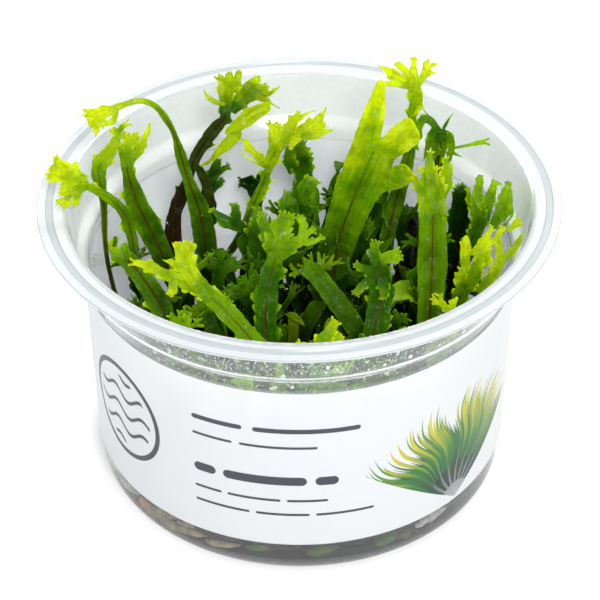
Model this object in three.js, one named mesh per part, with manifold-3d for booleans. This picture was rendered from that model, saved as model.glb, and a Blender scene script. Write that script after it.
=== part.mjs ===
// A crested java fern grown in a clear tissue-culture cup, with the lid off.
// Millimetres, +Z up, origin at the middle of the cup's underside.
import * as THREE from 'three';
import { mergeVertices } from 'three/addons/utils/BufferGeometryUtils.js';
import Module from 'manifold-3d';

const wasm = await Module();
wasm.setup();

// Cup: the wall rises almost straight, steps out at the shoulder and ends in a flat flange.
const RIM_RADIUS = 50;
const OPENING_RADIUS = 45;
const CUP_HEIGHT = 61;
const FLANGE_THICKNESS = 1.2;
const SHOULDER_RADIUS = 43.6;
const SHOULDER_HEIGHT = 51.4;
const WALL_TOP_RADIUS = 41.6;
const WALL_TOP_HEIGHT = 49;
const WALL_FOOT_RADIUS = 40.6;
const CORNER_RADIUS = 3.8;
const WALL_THICKNESS = 0.8;
const ROUND_STEPS = 36;

// Label: a paper band round the wall.
const LABEL_FOOT = 8.5;
const LABEL_TOP = 46.6;
const LABEL_THICKNESS = 0.3;

// Gel: a shallow layer that the rhizomes lie on.
const GEL_TOP = 9;
const GEL_FOOT_INSET = 2.6;

// Clearance kept between neighbouring pieces.
const GAP = 0.3;

// Plant: rhizomes are bent round stems, fronds are thin blades with a raised midrib.
const RHIZOME_RADIUS = 1.6;
const RHIZOME_HEIGHT = GEL_TOP + GAP + RHIZOME_RADIUS;
const RHIZOME_SIDES = 6;
const RHIZOME_END = 0.72;
const ROOT_HEIGHT = RHIZOME_HEIGHT + RHIZOME_RADIUS + GAP;
const RIDGE = 0.3;
const FINGER_RIDGE = 0.24;
const FINGER_LIFT = 0.28;
const BREADTH_OF_REACH = 0.3;
const CREST_OVERLAP = 0.6;
const PALM_SPREAD = 0.5;
const FINGER_NECK = 0.6;
const FINGER_BROADEST_AT = 0.55;
const SHORT_FINGER = 0.76;
const STEPS_PER_SPAN = 1.3;
const FACING_TILT = 0.5;

const PLASTIC = { color: 0xeef2f3, roughness: 0.12, metalness: 0 };
const PAPER = { color: 0xf7f8f8, roughness: 0.55, metalness: 0 };
const GEL = { color: 0xb9b49c, roughness: 0.15, metalness: 0 };
const STEM = { color: 0x4a3520, roughness: 0.7, metalness: 0 };
const LEAF_COLOURS = { lime: 0x9ccb1d, mid: 0x5f9d16, deep: 0x2f6411, stalk: 0x4b5a16 };

function wallRadius(height) {
  const rise = (height - CORNER_RADIUS) / (WALL_TOP_HEIGHT - CORNER_RADIUS);
  return WALL_FOOT_RADIUS + (WALL_TOP_RADIUS - WALL_FOOT_RADIUS) * rise;
}

// Turns an outline of [radius, height] pairs about the upright axis.
function turned(outline) {
  const points = outline.map(([radius, height]) => new THREE.Vector2(radius, height));
  const geometry = new THREE.LatheGeometry(points, ROUND_STEPS);
  geometry.rotateX(Math.PI / 2);
  return geometry;
}

function cupGeometry() {
  const cornerCut = CORNER_RADIUS * (1 - Math.SQRT1_2);
  const footInside = WALL_FOOT_RADIUS - WALL_THICKNESS;
  return turned([
    [0, 0],
    [WALL_FOOT_RADIUS - CORNER_RADIUS, 0],
    [WALL_FOOT_RADIUS - cornerCut, cornerCut],
    [WALL_FOOT_RADIUS, CORNER_RADIUS],
    [WALL_TOP_RADIUS, WALL_TOP_HEIGHT],
    [SHOULDER_RADIUS, SHOULDER_HEIGHT],
    [OPENING_RADIUS, CUP_HEIGHT - FLANGE_THICKNESS],
    [RIM_RADIUS, CUP_HEIGHT - FLANGE_THICKNESS],
    [RIM_RADIUS, CUP_HEIGHT],
    [OPENING_RADIUS, CUP_HEIGHT],
    [OPENING_RADIUS - WALL_THICKNESS, CUP_HEIGHT - FLANGE_THICKNESS],
    [SHOULDER_RADIUS - WALL_THICKNESS, SHOULDER_HEIGHT],
    [WALL_TOP_RADIUS - WALL_THICKNESS, WALL_TOP_HEIGHT],
    [footInside, CORNER_RADIUS],
    [footInside - GEL_FOOT_INSET, WALL_THICKNESS],
    [0, WALL_THICKNESS],
  ]);
}

function labelGeometry() {
  const foot = wallRadius(LABEL_FOOT) + GAP;
  const top = wallRadius(LABEL_TOP) + GAP;
  return turned([
    [foot, LABEL_FOOT],
    [foot + LABEL_THICKNESS, LABEL_FOOT],
    [top + LABEL_THICKNESS, LABEL_TOP],
    [top, LABEL_TOP],
    [foot, LABEL_FOOT],
  ]);
}

function gelGeometry() {
  const side = wallRadius(CORNER_RADIUS) - WALL_THICKNESS - GAP;
  return turned([
    [0, WALL_THICKNESS + GAP],
    [side - GEL_FOOT_INSET, WALL_THICKNESS + GAP],
    [side, CORNER_RADIUS],
    [side, GEL_TOP],
    [0, GEL_TOP],
  ]);
}

// Skins a row of rings, each an array of points, into one closed geometry.
// The first ring is closed flat. The last one is closed flat, or drawn to a point where apex is given.
function skin(rings, apex) {
  const sides = rings[0].length;
  const points = rings.flat();
  const index = [];
  for (let row = 0; row < rings.length - 1; row += 1) {
    for (let side = 0; side < sides; side += 1) {
      const a = row * sides + side;
      const b = row * sides + ((side + 1) % sides);
      index.push(a, b, b + sides, a, b + sides, a + sides);
    }
  }
  for (let side = 1; side < sides - 1; side += 1) {
    index.push(0, side + 1, side);
  }
  const last = (rings.length - 1) * sides;
  if (apex) {
    points.push(apex);
    for (let side = 0; side < sides; side += 1) {
      index.push(last + side, last + ((side + 1) % sides), points.length - 1);
    }
  } else {
    for (let side = 1; side < sides - 1; side += 1) {
      index.push(last, last + side, last + side + 1);
    }
  }
  const geometry = new THREE.BufferGeometry().setFromPoints(points);
  geometry.setIndex(index);
  return geometry;
}

function toSolid(geometry) {
  const merged = mergeVertices(geometry, 1e-5);
  return new wasm.Manifold(new wasm.Mesh({
    numProp: 3,
    vertProperties: new Float32Array(merged.attributes.position.array),
    triVerts: new Uint32Array(merged.index.array),
  }));
}

function toGeometry(solid) {
  const mesh = solid.getMesh();
  const geometry = new THREE.BufferGeometry();
  geometry.setAttribute('position', new THREE.BufferAttribute(mesh.vertProperties, 3));
  geometry.setIndex(new THREE.BufferAttribute(mesh.triVerts, 1));
  return geometry;
}

// The four corners of a blade's section: left edge, front ridge, right edge, back.
function bladeRing(centre, across, outward, width, ridge) {
  const half = width / 2;
  return [
    centre.clone().addScaledVector(across, -half),
    centre.clone().addScaledVector(outward, ridge),
    centre.clone().addScaledVector(across, half),
    centre.clone().addScaledVector(outward, -ridge),
  ];
}

// The way the blade's face looks: level with turn 0 towards -Y, and tilted up a little.
function facing(turn) {
  const angle = THREE.MathUtils.degToRad(turn);
  return new THREE.Vector3(Math.sin(angle), -Math.cos(angle), FACING_TILT).normalize();
}

function widthAt(widths, t) {
  const place = t * (widths.length - 1);
  const before = Math.min(Math.floor(place), widths.length - 2);
  return THREE.MathUtils.lerp(widths[before], widths[before + 1], place - before);
}

// One finger or lobe of a crest: a flat spike, broadest past its middle.
function fingerSolid(start, direction, face, length, breadth) {
  const across = new THREE.Vector3().crossVectors(direction, face).normalize();
  const outward = new THREE.Vector3().crossVectors(across, direction).normalize();
  const middle = start.clone().addScaledVector(direction, length * FINGER_BROADEST_AT);
  const rings = [
    bladeRing(start, across, outward, breadth * FINGER_NECK, FINGER_RIDGE),
    bladeRing(middle, across, outward, breadth, FINGER_RIDGE),
  ];
  return toSolid(skin(rings, start.clone().addScaledVector(direction, length)));
}

// A frond follows a smooth curve from its root to its end, where a crest of fingers may fan out.
function frondGeometry({ path, widths, turn = 0, crest }) {
  const curve = new THREE.CatmullRomCurve3(path.map((p) => new THREE.Vector3(...p)), false, 'catmullrom');
  const face = facing(turn);
  const steps = Math.round((path.length - 1) * STEPS_PER_SPAN);
  const rings = [];
  for (let step = 0; step <= steps; step += 1) {
    const t = step / steps;
    const tangent = curve.getTangent(t);
    const across = new THREE.Vector3().crossVectors(tangent, face).normalize();
    const outward = new THREE.Vector3().crossVectors(across, tangent).normalize();
    rings.push(bladeRing(curve.getPoint(t), across, outward, widthAt(widths, t), RIDGE));
  }
  if (!crest) {
    rings.pop();
    return skin(rings, curve.getPoint(1));
  }
  let solid = toSolid(skin(rings));
  const tangent = curve.getTangent(1);
  const across = new THREE.Vector3().crossVectors(tangent, face).normalize();
  const outward = new THREE.Vector3().crossVectors(across, tangent).normalize();
  const { count, from, to, reach, breadth = reach * BREADTH_OF_REACH } = crest;
  const end = curve.getPoint(1).addScaledVector(tangent, -CREST_OVERLAP);
  const palm = widths[widths.length - 1] * PALM_SPREAD;
  for (let finger = 0; finger < count; finger += 1) {
    const share = finger / (count - 1);
    const start = end.clone().addScaledVector(across, (share - 0.5) * palm);
    const angle = THREE.MathUtils.degToRad(THREE.MathUtils.lerp(from, to, share));
    const lift = finger % 2 === 0 ? FINGER_LIFT : -FINGER_LIFT;
    const direction = tangent.clone().multiplyScalar(Math.cos(angle));
    direction.addScaledVector(across, Math.sin(angle)).addScaledVector(outward, lift).normalize();
    const length = finger % 2 === 0 ? reach : reach * SHORT_FINGER;
    solid = solid.add(fingerSolid(start, direction, outward, length, breadth));
  }
  return toGeometry(solid);
}

// A rhizome is a bent round stem, thinner towards both ends.
function rhizomeGeometry(path) {
  const curve = new THREE.CatmullRomCurve3(path.map((p) => new THREE.Vector3(...p)), false, 'catmullrom');
  const steps = path.length + 2;
  const up = new THREE.Vector3(0.3, 0.2, 1).normalize();
  const rings = [];
  for (let step = 0; step <= steps; step += 1) {
    const t = step / steps;
    const tangent = curve.getTangent(t);
    const across = new THREE.Vector3().crossVectors(tangent, up).normalize();
    const over = new THREE.Vector3().crossVectors(across, tangent).normalize();
    const radius = RHIZOME_RADIUS * THREE.MathUtils.lerp(RHIZOME_END, 1, Math.sin(Math.PI * t));
    const ring = [];
    for (let side = 0; side < RHIZOME_SIDES; side += 1) {
      const angle = (side / RHIZOME_SIDES) * Math.PI * 2;
      ring.push(curve.getPoint(t)
        .addScaledVector(across, -Math.cos(angle) * radius)
        .addScaledVector(over, Math.sin(angle) * radius));
    }
    rings.push(ring);
  }
  return skin(rings);
}

const LOW = RHIZOME_HEIGHT;
const RHIZOMES = [
  [[-34, 1, LOW], [-27, 7, LOW], [-20, 13, LOW], [-14, 15, LOW]],
  [[-13, 22, LOW], [-4, 24.5, LOW], [5, 24, LOW], [12, 21, LOW]],
  [[1, 3, LOW], [9, 6, LOW], [17, 8, LOW], [22, 8, LOW]],
  [[23, 15, LOW], [29, 10, LOW], [33, 3, LOW], [34, -5, LOW]],
  [[31, -16, LOW], [23, -19.5, LOW], [14, -20.5, LOW], [5, -24, LOW]],
  [[0, -31, LOW], [-10, -27, LOW], [-19, -21, LOW], [-26, -13, LOW]],
  [[-21, -1, LOW], [-14, -4, LOW], [-6, -7, LOW], [2, -10.5, LOW]],
  [[20, 29, 14], [22, 30, 22], [23.5, 29, 31], [23, 28, 37]],
];

const R = ROOT_HEIGHT;
const FRONDS = [
  {
    path: [[-28, 6, R], [-31, 4, 30], [-34, 1, 48], [-37, -2, 60], [-41, -4.5, 67]],
    widths: [1.2, 2, 3.8, 4, 1.8], tint: 'lime', crest: { count: 6, from: -80, to: 45, reach: 7, breadth: 2.2 },
  },
  {
    path: [[-33, 2.5, R], [-36, 3.5, 30], [-37.5, 3, 44], [-38, 4, 57], [-38.5, 5, 64], [-35.5, 6.5, 69],
      [-33.8, 7, 72]],
    widths: [1, 1, 1.2, 1.6, 3.6, 2.6, 1.4], tint: 'lime', crest: { count: 3, from: -60, to: 60, reach: 3.5 },
  },
  {
    path: [[-22, 11.5, R], [-22, 9, 28], [-25, 9, 40], [-29.5, 10, 49.5], [-32.3, 10.5, 59]],
    widths: [1.2, 3, 4.2, 4.4, 3.2], tint: 'lime', crest: { count: 4, from: -22, to: 32, reach: 9, breadth: 2.2 },
  },
  {
    path: [[-17, 14.5, R], [-19, 12.5, 25], [-21, 12, 38], [-21.5, 13, 51], [-22.8, 13, 60.5], [-24.6, 11, 70.5],
      [-28, 8, 77], [-32.5, 5.5, 78.5], [-36, 3, 77.3]],
    widths: [1.4, 4, 5.2, 4.8, 1.2, 2.4, 1.8, 1.6, 2], tint: 'deep', crest: { count: 4, from: -50, to: 60, reach: 5 },
  },
  {
    path: [[-20, 13, R], [-27, 18, 28], [-26, 20.5, 42], [-20, 21, 55.5], [-12.5, 18.5, 68]],
    widths: [1.6, 2.8, 3.6, 4.4, 4.4], tint: 'stalk', crest: { count: 7, from: -85, to: 70, reach: 9.5, breadth: 3 },
  },
  {
    path: [[-12, 22, R], [-18, 25, 28], [-20, 26, 37.5], [-19, 26, 45]],
    widths: [1.2, 2, 2, 1.8], tint: 'deep', crest: { count: 3, from: -30, to: 55, reach: 5 },
  },
  {
    path: [[-8, 23.5, R], [-13.5, 18, 26], [-15.5, 15, 34], [-12, 16, 45], [-6.5, 16.5, 54], [-2, 16.5, 62]],
    widths: [1.2, 1.8, 2.6, 2.8, 2.4, 1.8], tint: 'lime', crest: { count: 6, from: -62, to: 60, reach: 8.5 },
  },
  {
    path: [[0, 24.5, R], [3, 27.5, 28], [1.5, 29, 41.5], [0.2, 29, 51]],
    widths: [1.2, 3, 4, 3.4], tint: 'mid', crest: { count: 4, from: -50, to: 60, reach: 5.5 },
  },
  {
    path: [[8, 6, R], [7, 8, 28], [7.3, 9, 41], [10.3, 8.5, 53], [12.8, 7.8, 61]],
    widths: [1.6, 4.5, 8, 9.6, 8.6], tint: 'lime', crest: { count: 2, from: 1, to: 14, reach: 21.5, breadth: 6.4 },
  },
  {
    path: [[15.5, 8, R], [16, 14, 24], [17.5, 18, 34], [20.5, 19, 46.5], [23, 18.5, 59.5], [22.5, 15.5, 70.5],
      [20, 12, 78]],
    widths: [1.4, 3, 4, 3.6, 2.4, 2.6, 3], tint: 'lime', crest: { count: 6, from: -75, to: 75, reach: 7.5 },
  },
  {
    path: [[21, 8, R], [23, 13, 25], [25, 16.5, 37], [26.5, 17, 50], [28, 15, 62], [28.5, 11, 68.5], [29.5, 7, 68]],
    widths: [1.2, 2.4, 3, 3, 2.4, 2, 1.6], tint: 'deep', crest: { count: 5, from: -75, to: 75, reach: 7 },
  },
  {
    path: [[25, -18.5, R], [25, -14, 25], [25, -11.5, 38], [25.3, -8, 49], [25.3, -5, 59.5]],
    widths: [1.6, 4, 5.4, 5.8, 5.4], tint: 'mid', crest: { count: 2, from: -14, to: 24, reach: 10, breadth: 3 },
  },
  {
    path: [[28, 11, R], [30.5, 15, 28], [32, 17, 38.5], [32.3, 17, 49]],
    widths: [1.4, 3.4, 4, 3], tint: 'deep',
  },
  {
    path: [[31.5, 6, R], [32, 8, 30], [33.5, 8.5, 41.5], [35.5, 7, 50]],
    widths: [1.4, 3, 3.6, 3], tint: 'mid', crest: { count: 6, from: -75, to: 45, reach: 9.5, breadth: 2.8 },
  },
  {
    path: [[34, -4, R], [31.5, -4.5, 27], [30.5, -6, 38], [32.5, -8, 46.5], [35.5, -8, 52]],
    widths: [1.2, 3, 3.6, 3.4, 2.6], tint: 'lime', crest: { count: 6, from: -70, to: 65, reach: 7.5 },
  },
  {
    path: [[30, -17, R], [27, -21, 28], [26, -22, 40], [29, -20, 47]],
    widths: [1.2, 2.4, 3, 2.2], tint: 'lime', crest: { count: 4, from: -60, to: 50, reach: 5 },
  },
  {
    path: [[-2, -30, R], [-1, -32, 29], [-4, -31.5, 42], [-10, -29, 50.5], [-16, -25.5, 56]],
    widths: [1.4, 3.4, 5, 5.4, 4.4], tint: 'lime', crest: { count: 2, from: -28, to: 34, reach: 12, breadth: 2.8 },
  },
  {
    path: [[-9, -27, R], [-8, -25, 28], [-6.5, -22.5, 41], [-6.3, -18, 51], [-4.5, -14.5, 57]],
    widths: [1.4, 3.4, 4.6, 4.2, 3], tint: 'mid', crest: { count: 5, from: -60, to: 75, reach: 8.5 },
  },
  {
    path: [[11, -21.5, R], [11.5, -21.5, 29], [13.5, -19.5, 41], [15.2, -15, 47], [15, -11, 52]],
    widths: [1.2, 3, 3.6, 3.4, 2.8], tint: 'mid', crest: { count: 5, from: -75, to: 80, reach: 6.5 },
  },
  {
    path: [[6, -23.5, R], [4, -30, 29], [4, -34.5, 43], [4.6, -34.5, 51]],
    widths: [1.2, 2, 2.4, 2], tint: 'lime', crest: { count: 3, from: -35, to: 40, reach: 4.5 },
  },
  {
    path: [[-5, -29, R], [-7, -34, 28], [-4, -37, 44], [-3, -37.5, 55]],
    widths: [1, 1.8, 2, 1.6], tint: 'lime',
  },
  {
    path: [[16, -20.5, R], [15.5, -16, 25], [12, -14.5, 37], [6, -9, 44], [1, -4, 48.5]],
    widths: [1.4, 4, 5.6, 5.4, 4], tint: 'deep',
  },
  {
    path: [[-23.5, -16.5, R], [-24.5, -16, 29], [-25.5, -15, 43], [-29.5, -12.5, 50.5], [-33, -10.5, 54.5]],
    widths: [1.4, 3, 4, 4, 3.4], tint: 'mid', crest: { count: 3, from: -30, to: 45, reach: 6 },
  },
  {
    path: [[17.5, 8.2, R], [22, 3, 26], [23.5, -2, 37], [20.5, -6.5, 43], [17.5, -10, 44]],
    widths: [1.4, 3.2, 4.2, 4, 3], turn: 90, tint: 'mid',
  },
  {
    path: [[12, 21, R], [15, 24, 28], [16.5, 25.5, 41], [16, 25, 49]],
    widths: [1.2, 3, 3.4, 2.6], tint: 'deep',
  },
  {
    path: [[-17, -2.8, R], [-17.5, 1, 27], [-16, 4.5, 39]],
    widths: [1.2, 3, 2.6], tint: 'deep', crest: { count: 3, from: -50, to: 50, reach: 6 },
  },
  {
    path: [[-11.5, -5, R], [-10, -2, 28], [-8.5, 3, 40], [-8.5, 6, 49]],
    widths: [1.2, 3.4, 4.2, 3], tint: 'mid',
  },
  {
    path: [[-6, -7, R], [-7, -7.5, 26], [-8.5, -8.5, 37], [-10.5, -8.5, 43]],
    widths: [1.2, 2.6, 3, 2.4], tint: 'deep', crest: { count: 3, from: -60, to: 50, reach: 5.5 },
  },
  {
    path: [[1, -10, R], [4, -6, 24], [4.5, -1, 33], [3, 2.5, 40]],
    widths: [1.2, 2.8, 3.2, 2.6], tint: 'mid', crest: { count: 3, from: -55, to: 55, reach: 5.5 },
  },
  {
    path: [[3, 3.8, R], [0.5, 8, 26], [-1.5, 10.5, 38], [-1.5, 11, 48]],
    widths: [1.2, 3.4, 4.4, 3.2], tint: 'mid',
  },
  {
    path: [[5, 24, R], [8.5, 21.5, 27], [9, 20, 38], [9, 19, 45]],
    widths: [1.2, 3, 3.2, 2.4], tint: 'deep', crest: { count: 3, from: -55, to: 55, reach: 5.5 },
  },
  {
    path: [[8.5, 23, R], [11, 29, 27], [9, 32, 37]],
    widths: [1.2, 2.4, 2], tint: 'deep', crest: { count: 3, from: -45, to: 45, reach: 5 },
  },
  {
    path: [[24, 14.5, R], [22, 21, 27], [21, 25, 36]],
    widths: [1.2, 2.6, 2], tint: 'deep', crest: { count: 3, from: -55, to: 45, reach: 5 },
  },
  {
    path: [[33.5, 0.5, R], [36, 1, 25], [36, 1.5, 35]],
    widths: [1.2, 2.6, 2.2], tint: 'deep', crest: { count: 3, from: -55, to: 45, reach: 5 },
  },
  {
    path: [[31, -16, R], [34, -14, 25], [35, -11, 36]],
    widths: [1.2, 2.6, 2.2], tint: 'mid', crest: { count: 3, from: -50, to: 40, reach: 5 },
  },
  {
    path: [[-13, -25, R], [-13.5, -22, 26], [-15.5, -18, 37], [-17.5, -15.5, 44]],
    widths: [1.2, 3, 3.2, 2.4], tint: 'mid', crest: { count: 5, from: -60, to: 55, reach: 5.5 },
  },
  {
    path: [[-18, -21.5, R], [-20, -23, 27], [-21, -23, 39], [-22, -22.5, 46]],
    widths: [1.2, 2.8, 3, 2.4], tint: 'mid', crest: { count: 3, from: -60, to: 50, reach: 5 },
  },
  {
    path: [[-25.5, -13.5, R], [-31, -9, 25], [-34, -6, 36]],
    widths: [1.2, 2.8, 2.2], tint: 'deep', crest: { count: 3, from: -55, to: 40, reach: 5 },
  },
  {
    path: [[-20.5, -1.2, R], [-24, -2, 25], [-27.5, -3, 36]],
    widths: [1.2, 2.8, 2.2], tint: 'mid', crest: { count: 3, from: -50, to: 50, reach: 5.5 },
  },
  {
    path: [[-4, 24.5, R], [-8, 29, 26], [-9, 32, 36]],
    widths: [1.2, 2.6, 2], tint: 'mid', crest: { count: 3, from: -45, to: 45, reach: 5 },
  },
  {
    path: [[-25, 8.8, R], [-31, 11, 25], [-34, 13, 35]],
    widths: [1.2, 2.4, 2], tint: 'deep', crest: { count: 3, from: -45, to: 45, reach: 4.5 },
  },
  {
    path: [[8.5, -22.8, R], [6, -20, 25], [4, -17, 35]],
    widths: [1.2, 2.8, 2.4], tint: 'mid', crest: { count: 3, from: -55, to: 50, reach: 5.5 },
  },
  {
    path: [[12, 6.8, R], [14, 1, 25], [12.5, -3, 34]],
    widths: [1.2, 2.8, 2.4], tint: 'deep', crest: { count: 3, from: -55, to: 55, reach: 5.5 },
  },
  {
    path: [[20.5, -20, R], [20, -26, 25], [18, -30, 36]],
    widths: [1.2, 2.8, 2.4], tint: 'mid', crest: { count: 3, from: -55, to: 50, reach: 5 },
  },
];

const fern = new THREE.Group();

function place(name, geometry, finish) {
  const mesh = new THREE.Mesh(geometry, new THREE.MeshStandardMaterial(finish));
  mesh.name = name;
  fern.add(mesh);
}

place('cup', cupGeometry(), PLASTIC);
place('label', labelGeometry(), PAPER);
place('growth_gel', gelGeometry(), GEL);
RHIZOMES.forEach((path, at) => place(`rhizome_${at + 1}`, rhizomeGeometry(path), STEM));
FRONDS.forEach((frond, at) => {
  const finish = { color: LEAF_COLOURS[frond.tint], roughness: 0.45, metalness: 0 };
  place(`frond_${String(at + 1).padStart(2, '0')}`, frondGeometry(frond), finish);
});

export default fern;
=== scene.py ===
"""Dresses a crested java fern in its clear tissue-culture cup.

Lengths are written in millimetres and turned to metres where a mesh is made.
"""
import logging
import math
import random
from collections.abc import Sequence
from dataclasses import dataclass, field
from enum import Enum

import bmesh
import bpy
from bpy.types import Material, Node, NodeSocket, NodeTree, Object
from mathutils import Matrix, Vector, noise

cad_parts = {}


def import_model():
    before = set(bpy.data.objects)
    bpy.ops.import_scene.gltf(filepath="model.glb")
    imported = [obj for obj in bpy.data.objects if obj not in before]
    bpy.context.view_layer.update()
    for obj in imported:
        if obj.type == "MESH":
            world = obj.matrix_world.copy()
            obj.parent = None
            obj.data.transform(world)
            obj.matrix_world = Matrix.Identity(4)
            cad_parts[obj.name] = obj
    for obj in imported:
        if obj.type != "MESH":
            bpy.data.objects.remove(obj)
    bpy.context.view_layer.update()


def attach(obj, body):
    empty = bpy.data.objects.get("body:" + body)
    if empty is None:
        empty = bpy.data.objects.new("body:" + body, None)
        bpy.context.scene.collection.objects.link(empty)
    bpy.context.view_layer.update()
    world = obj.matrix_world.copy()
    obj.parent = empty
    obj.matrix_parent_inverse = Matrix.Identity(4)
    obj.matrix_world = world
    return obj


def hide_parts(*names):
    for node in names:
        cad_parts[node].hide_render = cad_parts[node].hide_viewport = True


MM = 0.001
BODY = "root"
LOG = logging.getLogger("fern")

# The camera stands 450 mm from the cup and looks down on it at 37.8 degrees.
CAMERA_ELEVATION = 37.77
CAMERA_DISTANCE = 450.0
CAMERA_TARGET = (-0.02, 0.0, 35.68)
CAMERA_ROLL = -0.46
CAMERA_LENS = 136.6
SENSOR_WIDTH = 36.0

# The seed of Blender's noise vectors, which would otherwise be others in each run.
NOISE_SEED = 3

# Height of the roots' crowns above the underside, and of the stems that carry them.
CROWN_HEIGHT = 12.8
STEM_HEIGHT = 10.9


class Tint(Enum):
    """How ripe a frond is, which sets its finish."""

    LIME = "frond_lime"
    MID = "frond_mid"
    # DEEP is painted shade, not a ripeness: a darker copy of the tissue for fronds deep in the crowded cup.
    DEEP = "frond_deep"
    STALK = "frond_stalk"


class CrestForm(Enum):
    """How the fingers of a crest end."""

    PARSLEY = "short fingers that fork twice"
    LOBES = "long plain lobes that taper"
    BLUNT = "long plain lobes with round ends"


class LobeEnd(Enum):
    """How a listed lobe ends."""

    FRILL = "several small teeth"
    FORK = "two prongs"
    POINT = "a tapered tip"
    ROUND = "a blunt, round end"


class CupZone(Enum):
    """Zones of the cup, numbered in the order of ClearCup.finishes."""

    WALL = 0
    FLANGE = 1
    SHOULDER = 2
    NECK = 3
    FOOT = 4
    GROOVE = 5


@dataclass(frozen=True)
class Finger:
    """One finger or side lobe, with its angles in degrees and its sizes in millimetres.

    A side lobe leaves the blade's margin at a share of its length, on the side that its angle leans to.
    """

    angle: float
    reach: float
    breadth: float
    form: CrestForm = CrestForm.PARSLEY
    pitch: float = 0.0
    share: float = 1.0


@dataclass(frozen=True)
class Crest:
    """The fan of fingers at a frond's end, evenly spread unless they are listed."""

    count: int
    start: float
    stop: float
    reach: float
    breadth: float = 0.0
    curl: float = 14.0
    listed: tuple[Finger, ...] = ()
    neck: float = 0.0

    def fingers(self, dice: random.Random) -> tuple[Finger, ...]:
        """Lists the fingers from left to right.

        Args:
            dice: the frond's own source of chance.

        Returns:
            The listed fingers, or an even fan that alternates in reach and lift.
        """
        if self.listed:
            return self.listed
        step = (self.stop - self.start) / (self.count - 1)
        fan = []
        for at in range(self.count):
            long = at % 2 == 0
            pitch = (20 if long else -20) * dice.uniform(0.4, 1.6)
            reach = self.reach * (1.0 if long else 0.76) * dice.uniform(0.88, 1.1)
            angle = self.start + step * at + dice.uniform(-6, 6)
            fan.append(Finger(angle, reach, self.breadth or 0.4 + self.reach * 0.13, pitch=pitch))
        return tuple(fan)


@dataclass(frozen=True)
class Lobe:
    """A listed strip of a crest, drawn as it is seen from above the front.

    Its points lie right of, above and before the blade's end, in millimetres.
    """

    points: tuple[tuple[float, float, float], ...]
    widths: tuple[float, ...]
    start: float = 0.65
    stop: float = 1.0
    teeth: float = 0.45
    end: LobeEnd = LobeEnd.FRILL


@dataclass(frozen=True)
class Frond:
    """One frond: a blade along a listed path, with or without a crest, side lobes and lobes at its end.

    Where ripe is 1.0 the blade's end is as yellow as a tip. A frond with a dress has that tint's finish.
    """

    path: tuple[tuple[float, float, float], ...]
    widths: tuple[float, ...]
    tint: Tint
    crest: Crest | None = None
    turn: float = 0.0
    ruffle: float = 0.25
    fold: float = 0.1
    ragged: float = 0.08
    sides: tuple[Finger, ...] = ()
    teeth: float = 0.12
    dress: Tint | None = None
    lobes: tuple[Lobe, ...] = ()
    ripe: float = 0.64


R = CROWN_HEIGHT
LIME, MID, DEEP, STALK = Tint.LIME, Tint.MID, Tint.DEEP, Tint.STALK
LOBES, BLUNT = CrestForm.LOBES, CrestForm.BLUNT
FORK, POINT, ROUND = LobeEnd.FORK, LobeEnd.POINT, LobeEnd.ROUND

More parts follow.
